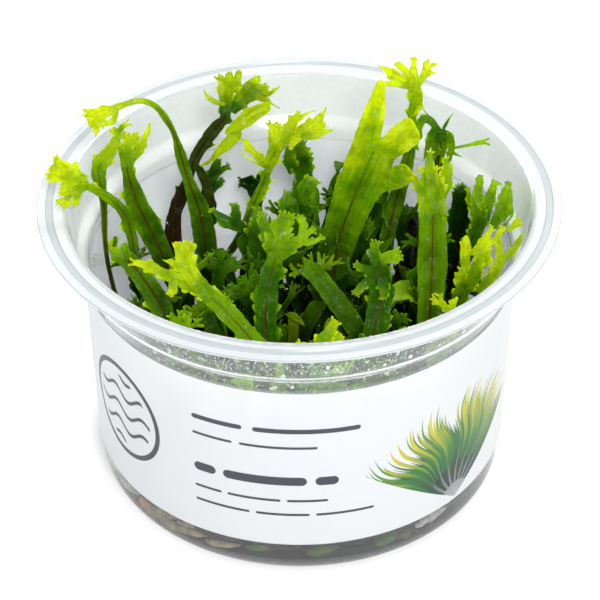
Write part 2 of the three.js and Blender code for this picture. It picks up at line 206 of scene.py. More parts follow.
FRONDS = (
    Frond(((-28, 6, R), (-30.5, 4, 30), (-32, 2, 44), (-33.2, 1, 55), (-36, -1.5, 61.5), (-40.4, -4.5, 67)),
          (1.2, 1.6, 1.9, 2, 1.9, 1.3), LIME, ripe=0.8, lobes=(
        Lobe(((0.6, -0.2, 0), (-1.1, 0.9, 0.3), (-3.2, 2.1, 0.6), (-5.3, 3, 0.2)), (1.2, 3.4, 4.6, 3.6)),
        Lobe(((0.8, -0.4, 0), (-1.3, -0.9, 0.3), (-3, -1.3, 0.3), (-4.1, -0.9, 0)), (1.2, 1.8, 1.7, 1.2)),
        Lobe(((-0.4, -0.9, 0), (-1.5, -2.1, 0), (-1.9, -3.4, 0)), (1.2, 1.2, 1.1)),
        Lobe(((-1.9, -1.5, 0), (-3, -2.4, 0.3), (-4.1, -3.4, 0.3)), (0.5, 0.6, 1.8)))),
    Frond(((-33, 2.5, R), (-36, 3.5, 30), (-38, 3.5, 44), (-37.8, 4, 56), (-38.3, 4, 61.5),
          (-38.2, 4.3, 65), (-35.7, 6, 68), (-34.4, 7, 71)), (0.8, 0.8, 0.9, 1.2, 2.6, 3, 2.4, 0.9), LIME,
          ripe=0.85, lobes=(
        Lobe(((0, 0, 0), (-0.6, 0.8, 0.2), (-1, 0.2, 0.3)), (0.8, 1.2, 1)),
        Lobe(((0, 0, 0), (0.6, 1, 0.2), (1.5, 1.5, 0.2)), (0.7, 0.9, 0.5), end=FORK))),
    Frond(((-22, 11.5, R), (-24, 10, 28), (-27, 10, 38), (-30, 10, 47), (-32.2, 10, 53.5),
          (-33.6, 10.3, 60.5)), (1.2, 3, 4.2, 4.4, 4, 2), MID, dress=LIME, ripe=0.46, lobes=(
        Lobe(((0, -0.4, 0), (0.6, 2.3, 0.2), (0.8, 4.5, 0.2), (1, 6.2, 0)), (2.1, 3, 3, 2.2), 0.46, 0.95),
        Lobe(((1, 1.6, 0), (2.3, 3.5, 0.3), (3.5, 5.5, 0.5), (4.5, 8, 0.8)), (1.6, 1.8, 1.3, 0.5),
             end=POINT),
        Lobe(((-0.6, 1.6, 0), (-1, 3.7, 0.3), (-1.4, 5.8, 0.6)), (1.2, 1.1, 0.5), end=POINT))),
    Frond(((-17, 14.5, R), (-18, 13.5, 26), (-19, 13, 41), (-19.8, 13, 48), (-21.5, 13, 54.5),
          (-23, 13, 61), (-24, 12, 67), (-25.3, 11, 71), (-26.6, 10, 74.2), (-28.4, 9, 76.4),
          (-30.6, 7.8, 77.6), (-34.2, 6, 77.4)), (1.4, 3.4, 4.6, 4.2, 2.2, 2.2, 0.9, 1.4, 1.1, 1.1, 1, 1.1),
          DEEP, dress=LIME, ripe=0.85, teeth=0, lobes=(
        Lobe(((0, -0.2, 0), (-1.9, -0.8, 0.2), (-3.8, -1.5, 0.4), (-5.1, -1.9, 0.2)), (1, 1.6, 3.2, 3), 0.8,
             1.1),
        Lobe(((-4.3, -1.7, 0.3), (-5.7, -1.7, 0.3), (-6.8, -1.5, 0.2)), (0.8, 0.5, 0.2), 1, 1.1, 0, POINT),
        Lobe(((-4, -2.3, 0.4), (-3.8, -3.6, 0.4), (-4, -4.9, 0.2)), (1, 0.8, 0.3), 1, 1.1, end=POINT),
        Lobe(((-2.8, -2, 0.4), (-2.6, -3.2, 0.4)), (1.2, 1), 1, 1.1),
        Lobe(((0, -0.4, 0), (0, -1.7, 0.3), (-0.9, -2.6, 0.3), (-1.5, -3, 0.3)), (0.8, 0.9, 1.2, 0.9), 0.8,
             1))),
    Frond(((-20, 13, R), (-24, 17, 26), (-25.3, 20, 41), (-22.9, 20, 48.4), (-21.3, 20, 54.5),
          (-19, 20, 59.3), (-16.5, 19.2, 63.5), (-14.3, 18.6, 66.6)),
          (1.4, 2.2, 2.4, 2, 2.2, 2.4, 2.2, 1.9), STALK, ripe=0.4, ragged=0.14, lobes=(
        Lobe(((0, 0, 0), (0, 2.5, 0.3), (0, 4.9, 0.4), (0.4, 6.8, 0)), (2, 2.2, 2.8, 3.8), 0.55, 0.85),
        Lobe(((0, 2.5, 0.4), (-1.8, 2.9, 0.6), (-3.3, 3.7, 0.6), (-3.9, 4.7, 0.4)), (0.8, 1, 0.9, 0.4), 0.9,
             1.1, 0, POINT),
        Lobe(((0.8, 4.3, 0.3), (1, 6.8, 0.3), (0.8, 8.6, 0)), (1.4, 1.6, 1.2), 0.8, 1, end=ROUND),
        Lobe(((1.6, 4.9, 0.3), (2.3, 6.8, 0.3), (2.7, 8.8, 0)), (1.4, 1.8, 1.4), 0.8, 1, end=ROUND),
        Lobe(((2, 3.3, 0.5), (3.7, 5.7, 0.6), (5.1, 7, 0.5), (6.6, 7.8, 0.3)), (1.4, 1.4, 1.2, 0.8), 0.75,
             1, 0.2, ROUND),
        Lobe(((1.2, 1, 0.2), (3.1, 3.3, 0.4), (5.5, 4.9, 0.4), (7.8, 5.3, 0)), (1.6, 2.8, 3.2, 2.4), 0.55,
             0.85, 0.7),
        Lobe(((7, 4.9, 0.3), (8.8, 4.3, 0.4), (10.1, 5.5, 0.4)), (1.2, 0.9, 0.3), 0.85, 1, end=POINT),
        Lobe(((6.2, 3.9, 0.3), (8, 3.1, 0.4), (9.9, 2.1, 0.3)), (1.2, 0.9, 0.2), 0.85, 1, end=POINT),
        Lobe(((0, -3.1, 0.4), (2.3, -1.8, 1), (5.1, 0.4, 1.4), (8, 1.8, 1.2)), (1.4, 2.6, 3.2, 2.2), 1.05,
             1.2, 0, ROUND),
        Lobe(((-5.4, -9, 0.4), (-3.1, -8, 0.6), (-1.4, -6.2, 0.6), (0.6, -4.7, 0.6), (2.7, -2.9, 0.8)),
             (0.6, 0.8, 1.8, 2.4, 1.6), 1, 1.1, 0, ROUND),
        Lobe(((-13.2, -31, -1), (-12.4, -23, -1), (-11.3, -17.8, -0.8), (-9.6, -13.8, -0.4),
             (-7.6, -10.8, 0)), (2, 2.2, 2.1, 1.9, 1.4), 0.1, 0.35, 0.1, POINT),
        Lobe(((-5.3, -25.4, -2), (-4.3, -20.4, -2), (-3.7, -16.5, -1.6), (-4.1, -13.5, -1),
             (-5.7, -9.2, -0.2)), (2, 2.4, 2.4, 2, 1.6), 0.1, 0.35, 0.1, POINT))),
    Frond(((-12, 22, R), (-18, 25, 28), (-20, 26, 37.5), (-19, 26, 45)), (1, 1.6, 1.7, 1.5), DEEP, lobes=(
        Lobe(((0.4, -0.6, 0), (1.4, 1.7, 0.2), (2, 4.1, 0.3), (2.2, 5.2, 0.3)), (1.4, 2.6, 2, 0.9), 0.5,
             0.9),
        Lobe(((1.2, 1.4, 0.2), (2.9, 3.3, 0.3), (4.3, 3.9, 0.3)), (1.4, 1.4, 0.9), 0.6, 0.95),
        Lobe(((0.8, -1, 0.1), (2.1, 0.2, 0.2), (3.1, 1.2, 0.2)), (1.6, 1.6, 1), 0.5, 0.8))),
    Frond(((-8, 23.5, R), (-14, 20, 24), (-17, 18, 29), (-12.5, 17, 38), (-9.5, 16, 46.7), (-7, 16, 53),
          (-5.7, 16, 57), (-3.1, 16, 62)), (1, 1.2, 1.4, 1.7, 1.7, 1.6, 1.4, 1.2), LIME, ripe=0.8,
          teeth=0.3, lobes=(
        Lobe(((-2.9, -5.5, 0.2), (-2.4, -2.2, 0.4), (-1.4, 0.8, 0.5), (-1.2, 3.3, 0.4)), (1, 1.8, 2.6, 3),
             0.8, 1),
        Lobe(((-3.1, -4.7, 0), (-4.9, -2.5, 0.3), (-6.5, -0.6, 0.4), (-7.8, 0.8, 0.3)), (1, 1.6, 1.4, 0.6),
             0.8, 1, end=POINT),
        Lobe(((-3.9, -4.3, 0.2), (-6.1, -3.1, 0.4), (-8.2, -1.6, 0.4)), (0.5, 0.4, 0.2), 0.9, 1, 0, POINT),
        Lobe(((0.2, 0.4, 0), (1.4, 2.7, 0.3), (2.2, 4.5, 0.4), (3.1, 5.5, 0.4)), (1.4, 2.4, 2.2, 1.2), 0.8,
             1),
        Lobe(((2.5, 4.7, 0.4), (4.1, 5.7, 0.4), (5.7, 6.3, 0.3)), (1, 0.7, 0.2), 0.9, 1, end=POINT),
        Lobe(((0.4, 0.2, 0.2), (2.7, 2.2, 0.4), (5.1, 3.3, 0.5), (7.3, 4.3, 0.4)), (1.2, 1.6, 2.2, 2.4),
             0.75, 1),
        Lobe(((6.1, 3.9, 0.4), (7.5, 5.3, 0.3), (8.2, 6.5, 0.2)), (1.2, 1, 0.3), 0.9, 1, end=POINT),
        Lobe(((3.3, 1.4, 0.5), (5.5, 1.6, 0.6), (7.6, 2.2, 0.5), (9, 2.5, 0.4)), (1, 2, 1.8, 0.6), 0.75,
             0.95, end=POINT),
        Lobe(((1.4, -1.2, 0.4), (2, 0.4, 0.5), (2.7, 1.4, 0.5)), (1, 1.4, 0.8), 0.95, 1.1))),
    Frond(((0, 24.5, R), (3, 27.5, 28), (1.5, 29, 41.5), (0.2, 29, 51)), (1.2, 2.6, 3.6, 3.6), MID,
          teeth=0.5, lobes=(
        Lobe(((-0.2, -2.4, 0), (0, 0.2, 0.1), (0.4, 2.2, 0)), (4, 3, 1.4), 0.55, 0.8, 0.8),
        Lobe(((-1.4, -4, 0.2), (-2, -1.5, 0.4), (-2.2, 1, 0.3)), (2, 2, 1), 0.6, 0.85, 0.8))),
    Frond(((8, 6, R), (7, 8, 28), (7.3, 9, 41), (10.3, 8.5, 53), (12.8, 7.8, 61)), (1.6, 4, 6.6, 8.6, 8.8),
          LIME, Crest(0, 0, 0, 21.5, curl=3, neck=5, listed=(Finger(-3, 16.5, 4.4, LOBES, 2),
          Finger(19, 9.6, 6.4, BLUNT, -3))), ruffle=0.12, fold=0.05, sides=(Finger(40, 6, 5, BLUNT, -6,
          0.96),), teeth=0, ripe=0.6),
    Frond(((15.5, 8, R), (16, 12, 26), (17.6, 14, 40), (19.2, 17, 46.5), (20.9, 18, 53), (22.2, 17, 62),
          (22.1, 16, 68.5), (22.7, 14, 73.8), (22.3, 13, 76.5)), (1.4, 2.6, 3, 3.2, 3, 2, 1.5, 2.6, 2.4),
          LIME, ripe=0.86, lobes=(
        Lobe(((0.4, 1, 0.1), (-0.2, 3.1, 0.3), (-0.2, 5.4, 0.3)), (1.8, 1.3, 0.9), 0.85, 1.1),
        Lobe(((0, 0, 0), (-2.7, 0.8, 0.3), (-5, 1, 0.3), (-7.1, 1.1, 0.2)), (1.6, 1.3, 0.9, 0.8), 0.85, 1.1,
             0.2, ROUND),
        Lobe(((-0.4, 0.4, 0), (-2.1, 1.5, 0.3), (-4, 2.5, 0.4), (-6.3, 4, 0.2)), (1.6, 1.6, 1.9, 0.4), 0.85,
             1.1, 0.3, POINT),
        Lobe(((-0.2, 1, 0.1), (-1.1, 2.7, 0.3), (-3.1, 4.6, 0.3)), (1.6, 1.3, 0.9), 0.85, 1.1),
        Lobe(((0.8, 0.8, 0.1), (1.5, 2.3, 0.3), (2.3, 3.8, 0.3), (2.7, 4.4, 0.2)), (1.4, 1.2, 1.6, 1.2),
             0.9, 1.1, end=FORK),
        Lobe(((1.9, 2.9, 0.3), (3.3, 2.9, 0.3)), (0.9, 0.5), 1, 1.1, 0, POINT),
        Lobe(((1.1, -1.5, 0.4), (1, -3.3, 0.5), (0, -4.4, 0.5)), (1, 1, 0.4), 1, 1.2, end=POINT))),
    Frond(((21, 8, R), (23, 13, 25), (25, 16.5, 37), (26.5, 17, 50), (27.6, 15.5, 60), (27.4, 13.5, 66)),
          (1.2, 2.4, 3, 3, 2.2, 1.5), DEEP, dress=MID, lobes=(
        Lobe(((0, 0, 0), (-1.7, 2.3, 0.6), (-3.3, 2.5, 1), (-4.3, 0.4, 1.2), (-4.7, -2.7, 1.2)),
             (1.4, 1.6, 1.4, 1.4, 1), 0.62, 0.9),
        Lobe(((-1.6, 1.9, 0.5), (-2.1, 3.1, 0.5), (-2.7, 3.9, 0.4)), (0.9, 0.6, 0.2), 0.7, 1, 0, POINT),
        Lobe(((-1, 0.8, 0.8), (-1.9, -1.6, 1.3), (-2.7, -4.3, 1.3)), (1.2, 1.4, 0.5), 0.62, 0.95,
             end=POINT),
        Lobe(((-0.2, 0.2, 0.8), (-0.8, -2.5, 1.4), (-1, -5, 1.4)), (1.2, 1.6, 0.5), 0.62, 0.95, end=POINT),
        Lobe(((0.4, 0, 0.8), (1, -2.7, 1.3), (0.4, -5.6, 1.2)), (1.2, 1.3, 0.4), 0.62, 0.9, end=POINT),
        Lobe(((0, 0.2, 0.2), (1.7, -0.6, 0.6), (2.7, -2.7, 0.7), (1.6, -5.4, 0.6)), (1.4, 1.5, 1.3, 0.6),
             0.62, 0.9, end=POINT),
        Lobe(((0.6, 0.6, 0.2), (1.4, 2.1, 0.2), (2.1, 3.1, 0.1)), (0.8, 0.6, 0.2), 0.7, 1, 0, POINT),
        Lobe(((2.3, -2.7, 0.3), (4.3, -2.5, 0.3), (6.4, -2.1, 0.2), (7.8, -1.7, 0.1), (8.9, -1.6, 0)),
             (0.6, 0.5, 0.6, 1, 0.8), 0.85, 1.1, 0, FORK),
        Lobe(((2.7, -3.5, 0.4), (3.9, -4.1, 0.4)), (0.8, 0.4), 0.8, 1, 0, POINT))),
    Frond(((25, -18.5, R), (25, -14, 25), (25, -11.5, 38), (25.3, -8, 49), (25.3, -5, 59.5)),
          (1.6, 3.8, 5, 5.6, 5.4), MID, ragged=0.12, dress=LIME, ripe=0.5, lobes=(
        Lobe(((0, -1.1, 0), (-0.2, 2.1, 0.2), (-0.4, 5.3, 0.2), (-0.6, 8.3, -0.2)), (5.4, 5.4, 5.2, 3), 0.5,
             0.72),
        Lobe(((1.3, 3, 0.2), (2.3, 5.9, 0.4), (2.8, 8.7, 0.3), (2.5, 10.6, 0)), (2.4, 2.4, 1.6, 0.8), 0.6,
             0.8),
        Lobe(((-1.7, 3.8, 0.2), (-2.7, 5.7, 0.3), (-3.4, 7.2, 0.2)), (2, 1.6, 0.8), 0.6, 0.75),
        Lobe(((-0.6, 6.8, 0.2), (-0.8, 9.7, 0.2), (-0.4, 11.7, 0)), (1.6, 1.4, 0.6), 0.65, 0.8))),
    Frond(((28, 11, R), (30.5, 15, 28), (32, 17, 38.5), (32.3, 17, 49)), (1.4, 3, 3.8, 3.4), DEEP,
          teeth=0.3, ripe=0.4, lobes=(
        Lobe(((0, -1, 0), (0, 0.4, 0), (-0.4, 1.2, 0)), (3.4, 3, 1.8), 0.3, 0.45),)),
    Frond(((31.5, 6, R), (32, 8, 30), (33.5, 8.5, 41.5), (35.5, 7, 50)), (1.2, 2.4, 2.6, 2.2), MID,
          teeth=0.35, lobes=(
        Lobe(((-0.4, -3.1, 0), (-0.6, 0.8, 0.2), (-0.4, 4.1, 0.2), (0, 8.2, 0)), (2.3, 2.7, 2.2, 0.7), 0.55,
             0.95, 0.8),
        Lobe(((-1.2, 0.8, 0.1), (-2, 3.7, 0.3), (-2.4, 5.7, 0.3)), (1.2, 1.2, 0.6), 0.6, 0.9),
        Lobe(((1, -1.2, 0.1), (1.6, 2.7, 0.4), (2.2, 5.7, 0.5), (3.1, 7.1, 0.3)), (1.6, 1.6, 1.4, 1.1), 0.6,
             1.1),
        Lobe(((2.4, -1.8, 0.2), (3.9, 1.4, 0.5), (4.9, 4.5, 0.6), (5.5, 6.7, 0.3)), (1.6, 2, 1.7, 1.2), 0.7,
             1.1),
        Lobe(((3.9, -0.2, 0.4), (5.9, 2.2, 0.6), (6.9, 4.7, 0.4)), (1.6, 1.7, 1.1), 0.8, 1.1),
        Lobe(((6.3, 2.7, 0.4), (7.6, 3.7, 0.3), (8.8, 4.1, 0.2)), (0.5, 0.4, 0.2), 0.9, 1, 0, POINT),
        Lobe(((3.5, -2.5, 0.8), (5.9, -1.2, 0.9), (6.9, 1.2, 0.8)), (1.6, 1.7, 1.1), 0.85, 1.1))),
    Frond(((34, -4, R), (31.5, -4.5, 27), (30.5, -6, 38), (32.5, -8, 46.5), (35.5, -8, 52)),
          (1.2, 2.4, 2.8, 2.6, 2.2), LIME, ruffle=0.5, teeth=0.4, ripe=0.8, lobes=(
        Lobe(((-3.4, -2.9, 0), (-4, -0.2, 0.3), (-3.8, 2.1, 0.4), (-3.8, 3.6, 0.2)), (1.6, 2.2, 2, 1.2),
             0.85, 1.1, 0.2, ROUND),
        Lobe(((-3, 0.4, 0.5), (-1.1, 1.9, 0.8), (0.2, 4, 0.8), (1.1, 5.1, 0.5)), (1.2, 1.6, 1.2, 0.8), 0.85,
             1.05, 0.2),
        Lobe(((-1.5, -6.7, 0.2), (0.8, -4.8, 0.6), (2.3, -2.1, 0.8), (2.5, 1, 0.9), (2.1, 3.6, 0.8),
             (3, 5.1, 0.5)), (1.4, 1.6, 1.6, 1.4, 1.4, 0.9), 0.7, 0.95, 0.3),
        Lobe(((3.2, -1, 0.6), (5, 1.3, 0.8), (6.9, 3.6, 0.8), (8.6, 5.5, 0.6)), (1.2, 1.4, 1.2, 0.8), 0.75,
             1, 0.3),
        Lobe(((4.2, 4.8, 0.3), (5.5, 5.9, 0.3), (6.1, 6.7, 0.2)), (1.1, 1.2, 0.8), 0.9, 1.1),
        Lobe(((-3, -6.3, 0.4), (-2.1, -3.4, 0.8), (-1.5, -1, 1), (-1.5, 0.2, 0.8)), (1.6, 1.9, 2, 1.6), 0.6,
             0.85, 0.8),
        Lobe(((-4.6, -6.7, 0.2), (-4.6, -4.4, 0.5), (-4.4, -2.5, 0.6)), (1.4, 1.6, 1.1), 0.7, 1, 0.8),
        Lobe(((-0.4, -5.3, 0.8), (0.8, -3.6, 1), (1.1, -2.1, 1)), (1.2, 1.4, 0.9), 0.65, 0.9, 0.8),
        Lobe(((0.8, -1, 0.4), (0, 1.3, 0.5), (0.8, 3.2, 0.4)), (1.2, 1.2, 0.8), 0.8, 1))),
    Frond(((30, -17, R), (27, -21, 28), (26, -22, 40), (29, -20, 47)), (1.2, 2.4, 3, 2.2), LIME,
          Crest(4, -60, 50, 5)),
    Frond(((-2, -30, R), (-1, -32, 29), (-4, -31.5, 42), (-10, -29, 50.5), (-16, -25.5, 56)),
          (1.4, 2.6, 3.4, 3.6, 3.2), LIME, ruffle=0.35, ragged=0.2, lobes=(
        Lobe(((0.4, -0.2, 0), (-3.1, 2, 0.2), (-7.7, 3.9, 0.4), (-11.4, 5.9, 0.4), (-14.3, 6.6, 0.2)),
             (3, 2.2, 1.8, 2.2, 0.8), 0.65, 0.9, end=FORK),
        Lobe(((-7.3, 3.9, 0.3), (-7.2, 2.2, 0.5), (-7.7, 1.1, 0.5)), (1.4, 1.6, 1), 0.8, 1),
        Lobe(((-0.4, 0, 0.2), (-2.6, 2.6, 0.6), (-4.4, 5.1, 0.8), (-5.1, 7.9, 0.8), (-5, 9.4, 0.6)),
             (3, 2.8, 3, 3.4, 3.2), 0.65, 0.92, 0.3),
        Lobe(((-4, 4.8, 0.6), (-6.2, 5.9, 0.8), (-8.3, 6.8, 0.8)), (1.6, 1.4, 0.4), 0.75, 0.95, end=POINT))),
    Frond(((-9, -27, R), (-8, -25, 28), (-6.5, -22.5, 41), (-6.3, -18, 51), (-4.5, -14.5, 57)),
          (1.4, 3, 4, 4, 3.4), MID, ruffle=0.35, ragged=0.2, teeth=0.5, lobes=(
        Lobe(((0, -0.9, 0), (0.2, 2.2, 0.2), (0.9, 5, 0.3), (1.9, 7.5, 0.2)), (3.4, 4, 4, 2.6), 0.6, 0.88,
             0.7),
        Lobe(((-0.6, 1.3, 0.2), (-1.7, 4.1, 0.4), (-2.2, 6.5, 0.3), (-2.4, 8.2, 0.2)), (2, 2, 1.6, 0.8),
             0.6, 0.85),
        Lobe(((0.9, -0.2, 0.6), (2.8, 1.7, 1), (4.7, 3.6, 1), (6.9, 5, 0.8)), (1.6, 1.4, 1.6, 1.2), 0.7,
             1.05),
        Lobe(((4.7, 3.6, 0.9), (5.2, 5.8, 0.9), (4.7, 7.3, 0.8)), (1.4, 1.4, 0.9), 0.9, 1.1),
        Lobe(((4.7, 2.8, 1), (6.9, 2.6, 1.2), (8.4, 3.6, 1.1)), (1.2, 1.2, 0.7), 0.9, 1.1))),
    Frond(((11, -21.5, R), (11.5, -21.5, 29), (13.5, -19.5, 41), (15.2, -15, 47), (15, -11, 52)),
          (1.2, 3, 4.4, 4.6, 3.6), MID, ruffle=0.4, teeth=0.4, ripe=0.5, lobes=(
        Lobe(((-0.2, -0.4, 0), (0.9, 1.5, 0.3), (3.6, 2.3, 0.3)), (2.2, 2.4, 2), 0.6, 0.95),
        Lobe(((-0.6, 0, 0.2), (-0.9, 2.3, 0.3), (-0.4, 4.4, 0.2)), (2, 2, 1.4), 0.55, 0.85),
        Lobe(((-0.9, -0.8, 0.2), (-2.7, -0.4, 0.4), (-4.2, 0.4, 0.3)), (2, 1.6, 0.9), 0.5, 0.85),
        Lobe(((-0.9, -2.3, 0.4), (-2.8, -3, 0.7), (-4.4, -4.9, 0.5)), (2, 1.8, 1.2), 0.5, 0.9),
        Lobe(((0.2, -1.9, 0.4), (0.9, -3.6, 0.8), (0.6, -5.7, 0.8)), (2, 2, 1), 0.45, 0.7))),
    Frond(((6, -23.5, R), (4, -30, 29), (3, -34.5, 43), (3, -34.5, 50.3)), (1.2, 2, 2.4, 2), LIME, ripe=0.8,
          lobes=(
        Lobe(((0, -0.5, 0), (1, 2, 0.2), (2.2, 3.8, 0.3), (3.3, 5.4, 0.2)), (1.8, 2.2, 2, 1.4), 0.55, 0.85),
        Lobe(((1.4, 1.4, 0.3), (2.8, 2, 0.5), (4.2, 2.8, 0.4)), (1.2, 1.5, 1), 0.7, 0.9),
        Lobe(((-0.6, -0.4, 0.2), (-1.8, 0.9, 0.3), (-3, 1.3, 0.2)), (1, 1.3, 0.9), 0.6, 0.85))),
    Frond(((-5, -29, R), (-7, -34, 28), (-4, -37, 44), (-3, -37.5, 55)), (1, 1.8, 2, 1.6), LIME),
    Frond(((16, -20.5, R), (15.5, -16, 25), (12, -14.5, 37), (6, -9, 44), (1, -4, 48.5)),
          (1.4, 3, 3.8, 3.8, 3), DEEP),
    Frond(((-23.5, -16.5, R), (-24.5, -16, 29), (-25.5, -15, 43), (-29.5, -12.5, 50.5), (-33, -10.5, 54.5)),
          (1.4, 3, 4, 4, 3.2), MID, dress=LIME, ripe=0.45, lobes=(
        Lobe(((0, -0.8, 0), (-1.5, 0.2, 0.2), (-2.2, 1.6, 0.2), (-2.4, 2.8, 0.1)), (3, 2.6, 2, 1.6), 0.5,
             0.85, 0.2, ROUND),
        Lobe(((0.4, -0.6, 0.3), (0.2, 0.8, 0.4), (-0.2, 2.2, 0.3)), (2, 1.8, 1.4), 0.45, 0.6, 0.2, ROUND),
        Lobe(((-2, 1.8, 0.1), (-1.8, 3.6, 0.1)), (0.9, 0.8), 0.2, 0.3, end=ROUND))),
    Frond(((17.5, 8.2, R), (22, 3, 26), (23.5, -2, 37), (20.5, -6.5, 43), (17.5, -10, 44)),
          (1.4, 3.2, 4.2, 4, 3), MID, turn=90),
    Frond(((12, 21, R), (15, 24, 28), (16.5, 25.5, 41), (16, 25, 49)), (1.2, 3, 3.4, 2.6), DEEP),
    Frond(((-17, -2.8, R), (-17.5, 1, 27), (-16, 4.5, 39)), (1.2, 3, 2.6), DEEP, Crest(5, -50, 50, 6)),
    Frond(((-11.5, -5, R), (-10, -2, 28), (-8.5, 3, 40), (-8.5, 6, 49)), (1.2, 3.4, 4.2, 3), MID, lobes=(
        Lobe(((-1.2, -1.6, -0.3), (-3.1, 0.2, -0.3), (-5.5, 1, -0.3), (-8.4, 3.5, -0.3)),
             (1.4, 2, 2.4, 0.8), 0.3, 0.6, 0.7),
        Lobe(((-3.9, 0.2, -0.3), (-3.9, 2.5, -0.2), (-4.3, 4.5, -0.2)), (1.6, 1.6, 1), 0.35, 0.7, 0.7),
        Lobe(((0, -1, 0), (0.4, 1.5, 0.2), (0.2, 3.5, 0.2)), (3, 2.4, 1.2), 0.6, 0.8))),
    Frond(((-6, -7, R), (-7, -7.5, 26), (-8.5, -8.5, 37), (-10.5, -8.5, 43)), (1.2, 2.6, 3, 2.4), DEEP,
          Crest(5, -60, 50, 5.5)),
    Frond(((1, -10, R), (4, -6, 24), (4.5, -1, 33), (3, 2.5, 40)), (1.2, 2.8, 3.2, 2.6), MID,
          Crest(5, -55, 55, 5.5)),
    Frond(((3, 3.8, R), (0.5, 8, 26), (-1.5, 10.5, 38), (-1.5, 11, 48)), (1.2, 3.4, 4.4, 3.6), MID, lobes=(
        Lobe(((0.2, -1.5, 0), (1.4, 2.5, 0.2), (3, 5.5, 0.2), (4, 7, 0)), (3.6, 5, 4.4, 2.4), 0.5, 0.75,
             0.5),
        Lobe(((-0.8, 0, 0.2), (-1.4, 2.5, 0.4), (-0.8, 4.5, 0.3)), (2, 2.4, 1.4), 0.55, 0.8))),
    Frond(((5, 24, R), (8.5, 21.5, 27), (9, 20, 38), (9, 19, 45)), (1.2, 3, 3.2, 2.4), DEEP,
          Crest(5, -55, 55, 5.5)),
    Frond(((8.5, 23, R), (11, 29, 27), (9, 32, 37)), (1.2, 2.4, 2), DEEP, Crest(5, -45, 45, 5)),
    Frond(((24, 14.5, R), (22, 21, 27), (21, 25, 36)), (1.2, 2.6, 2), DEEP, Crest(5, -55, 45, 5)),
    Frond(((33.5, 0.5, R), (36, 1, 25), (36, 1.5, 35)), (1.2, 2.6, 2.2), DEEP, Crest(5, -55, 45, 5)),
    Frond(((31, -16, R), (34, -14, 22), (35, -11, 30)), (1.2, 2.6, 2.2), MID, Crest(5, -50, 40, 5)),
    Frond(((-13, -25, R), (-13.5, -22, 26), (-15.5, -18, 37), (-17.5, -15.5, 44)), (1.2, 3, 3.2, 2.4), MID,
          Crest(5, -60, 55, 5.5)),
    Frond(((-18, -21.5, R), (-20, -23, 27), (-21, -23, 39), (-22, -22.5, 46)), (1.2, 2.8, 3, 2.4), MID,
          Crest(5, -60, 50, 5)),
    Frond(((-25.5, -13.5, R), (-31, -9, 25), (-34, -6, 36)), (1.2, 2.8, 2.2), DEEP, Crest(5, -55, 40, 5)),
    Frond(((-20.5, -1.2, R), (-24, -2, 25), (-27.5, -3, 36)), (1.2, 2.8, 2.2), MID, Crest(5, -50, 50, 5.5)),
    Frond(((-4, 24.5, R), (-8, 29, 26), (-9, 32, 36)), (1.2, 2.6, 2), MID, dress=DEEP, lobes=(
        Lobe(((0.4, 1, 0), (-0.2, 2.9, 0.2), (-1.2, 4.5, 0.3), (-3.1, 4.7, 0.2)), (1.4, 3, 3.6, 1.6), 0.3,
             0.5),
        Lobe(((0.2, 2.5, 0), (0.8, 4.5, 0.2), (1.2, 6.2, 0.2)), (1.6, 2, 1.2), 0.3, 0.55))),
    Frond(((-25, 8.8, R), (-31, 11, 25), (-34, 13, 35)), (1.2, 2.4, 2), DEEP, Crest(5, -45, 45, 4.5)),
    Frond(((8.5, -22.8, R), (6, -20, 25), (4, -17, 35)), (1.2, 2.8, 2.4), MID, Crest(5, -55, 50, 5.5)),
    Frond(((12, 6.8, R), (14, 1, 25), (12.5, -3, 34)), (1.2, 2.8, 2.4), DEEP, Crest(5, -55, 55, 5.5)),
    Frond(((20.5, -20, R), (20, -26, 25), (18, -30, 36)), (1.2, 2.8, 2.4), MID, Crest(5, -55, 50, 5)),
)

L = STEM_HEIGHT
STEMS = (
    ((-34, 1, L), (-27, 7, L), (-20, 13, L), (-14, 15, L)),
    ((-13, 22, L), (-4, 24.5, L), (5, 24, L), (12, 21, L)),
    ((1, 3, L), (9, 6, L), (17, 8, L), (22, 8, L)),
    ((23, 15, L), (29, 10, L), (33, 3, L), (34, -5, L)),
    ((31, -16, L), (23, -19.5, L), (14, -20.5, L), (5, -24, L)),
    ((0, -31, L), (-10, -27, L), (-19, -21, L), (-26, -13, L)),
    ((-21, -1, L), (-14, -4, L), (-6, -7, L), (2, -10.5, L)),
    ((20, 29, 14), (22, 30, 22), (23.5, 29, 31), (23, 28, 37)),
)


def linear(colour: str) -> tuple[float, float, float, float]:
    """Turns an sRGB hex colour to linear light.

    Args:
        colour: six hex digits after a hash.

    Returns:
        Red, green, blue and an alpha of one.
    """
    parts = [int(colour[at:at + 2], 16) / 255 for at in (1, 3, 5)]
    red, green, blue = (p / 12.92 if p <= 0.04045 else ((p + 0.055) / 1.055) ** 2.4 for p in parts)
    return red, green, blue, 1.0


def add_node(
    tree: NodeTree, kind: str, inputs: dict[int | str, object] | None = None,
    stops: Sequence[tuple[float, str]] = (), **settings: object
) -> Node:
    """Adds one node to a material.

    Args:
        tree: the material's node tree.
        kind: the node's class name, less the word ShaderNode.
        inputs: for each socket, by name or number, its value, or the output or node that feeds it. A node
            feeds it from its first output.
        stops: stops of a colour ramp, each a place and a hex colour.
        **settings: values of the node's own properties.

    Returns:
        The new node.
    """
    node = tree.nodes.new("ShaderNode" + kind)
    for name, value in settings.items():
        setattr(node, name, value)
    for name, value in (inputs or {}).items():
        source = value.outputs[0] if isinstance(value, Node) else value
        if isinstance(source, NodeSocket):
            tree.links.new(source, node.inputs[name])
        else:
            node.inputs[name].default_value = source
    if stops:
        elements = node.color_ramp.elements
        while len(elements) < len(stops):
            elements.new(1.0)
        for element, (place, colour) in zip(elements, stops):
            element.position = place
            element.color = linear(colour)
    return node


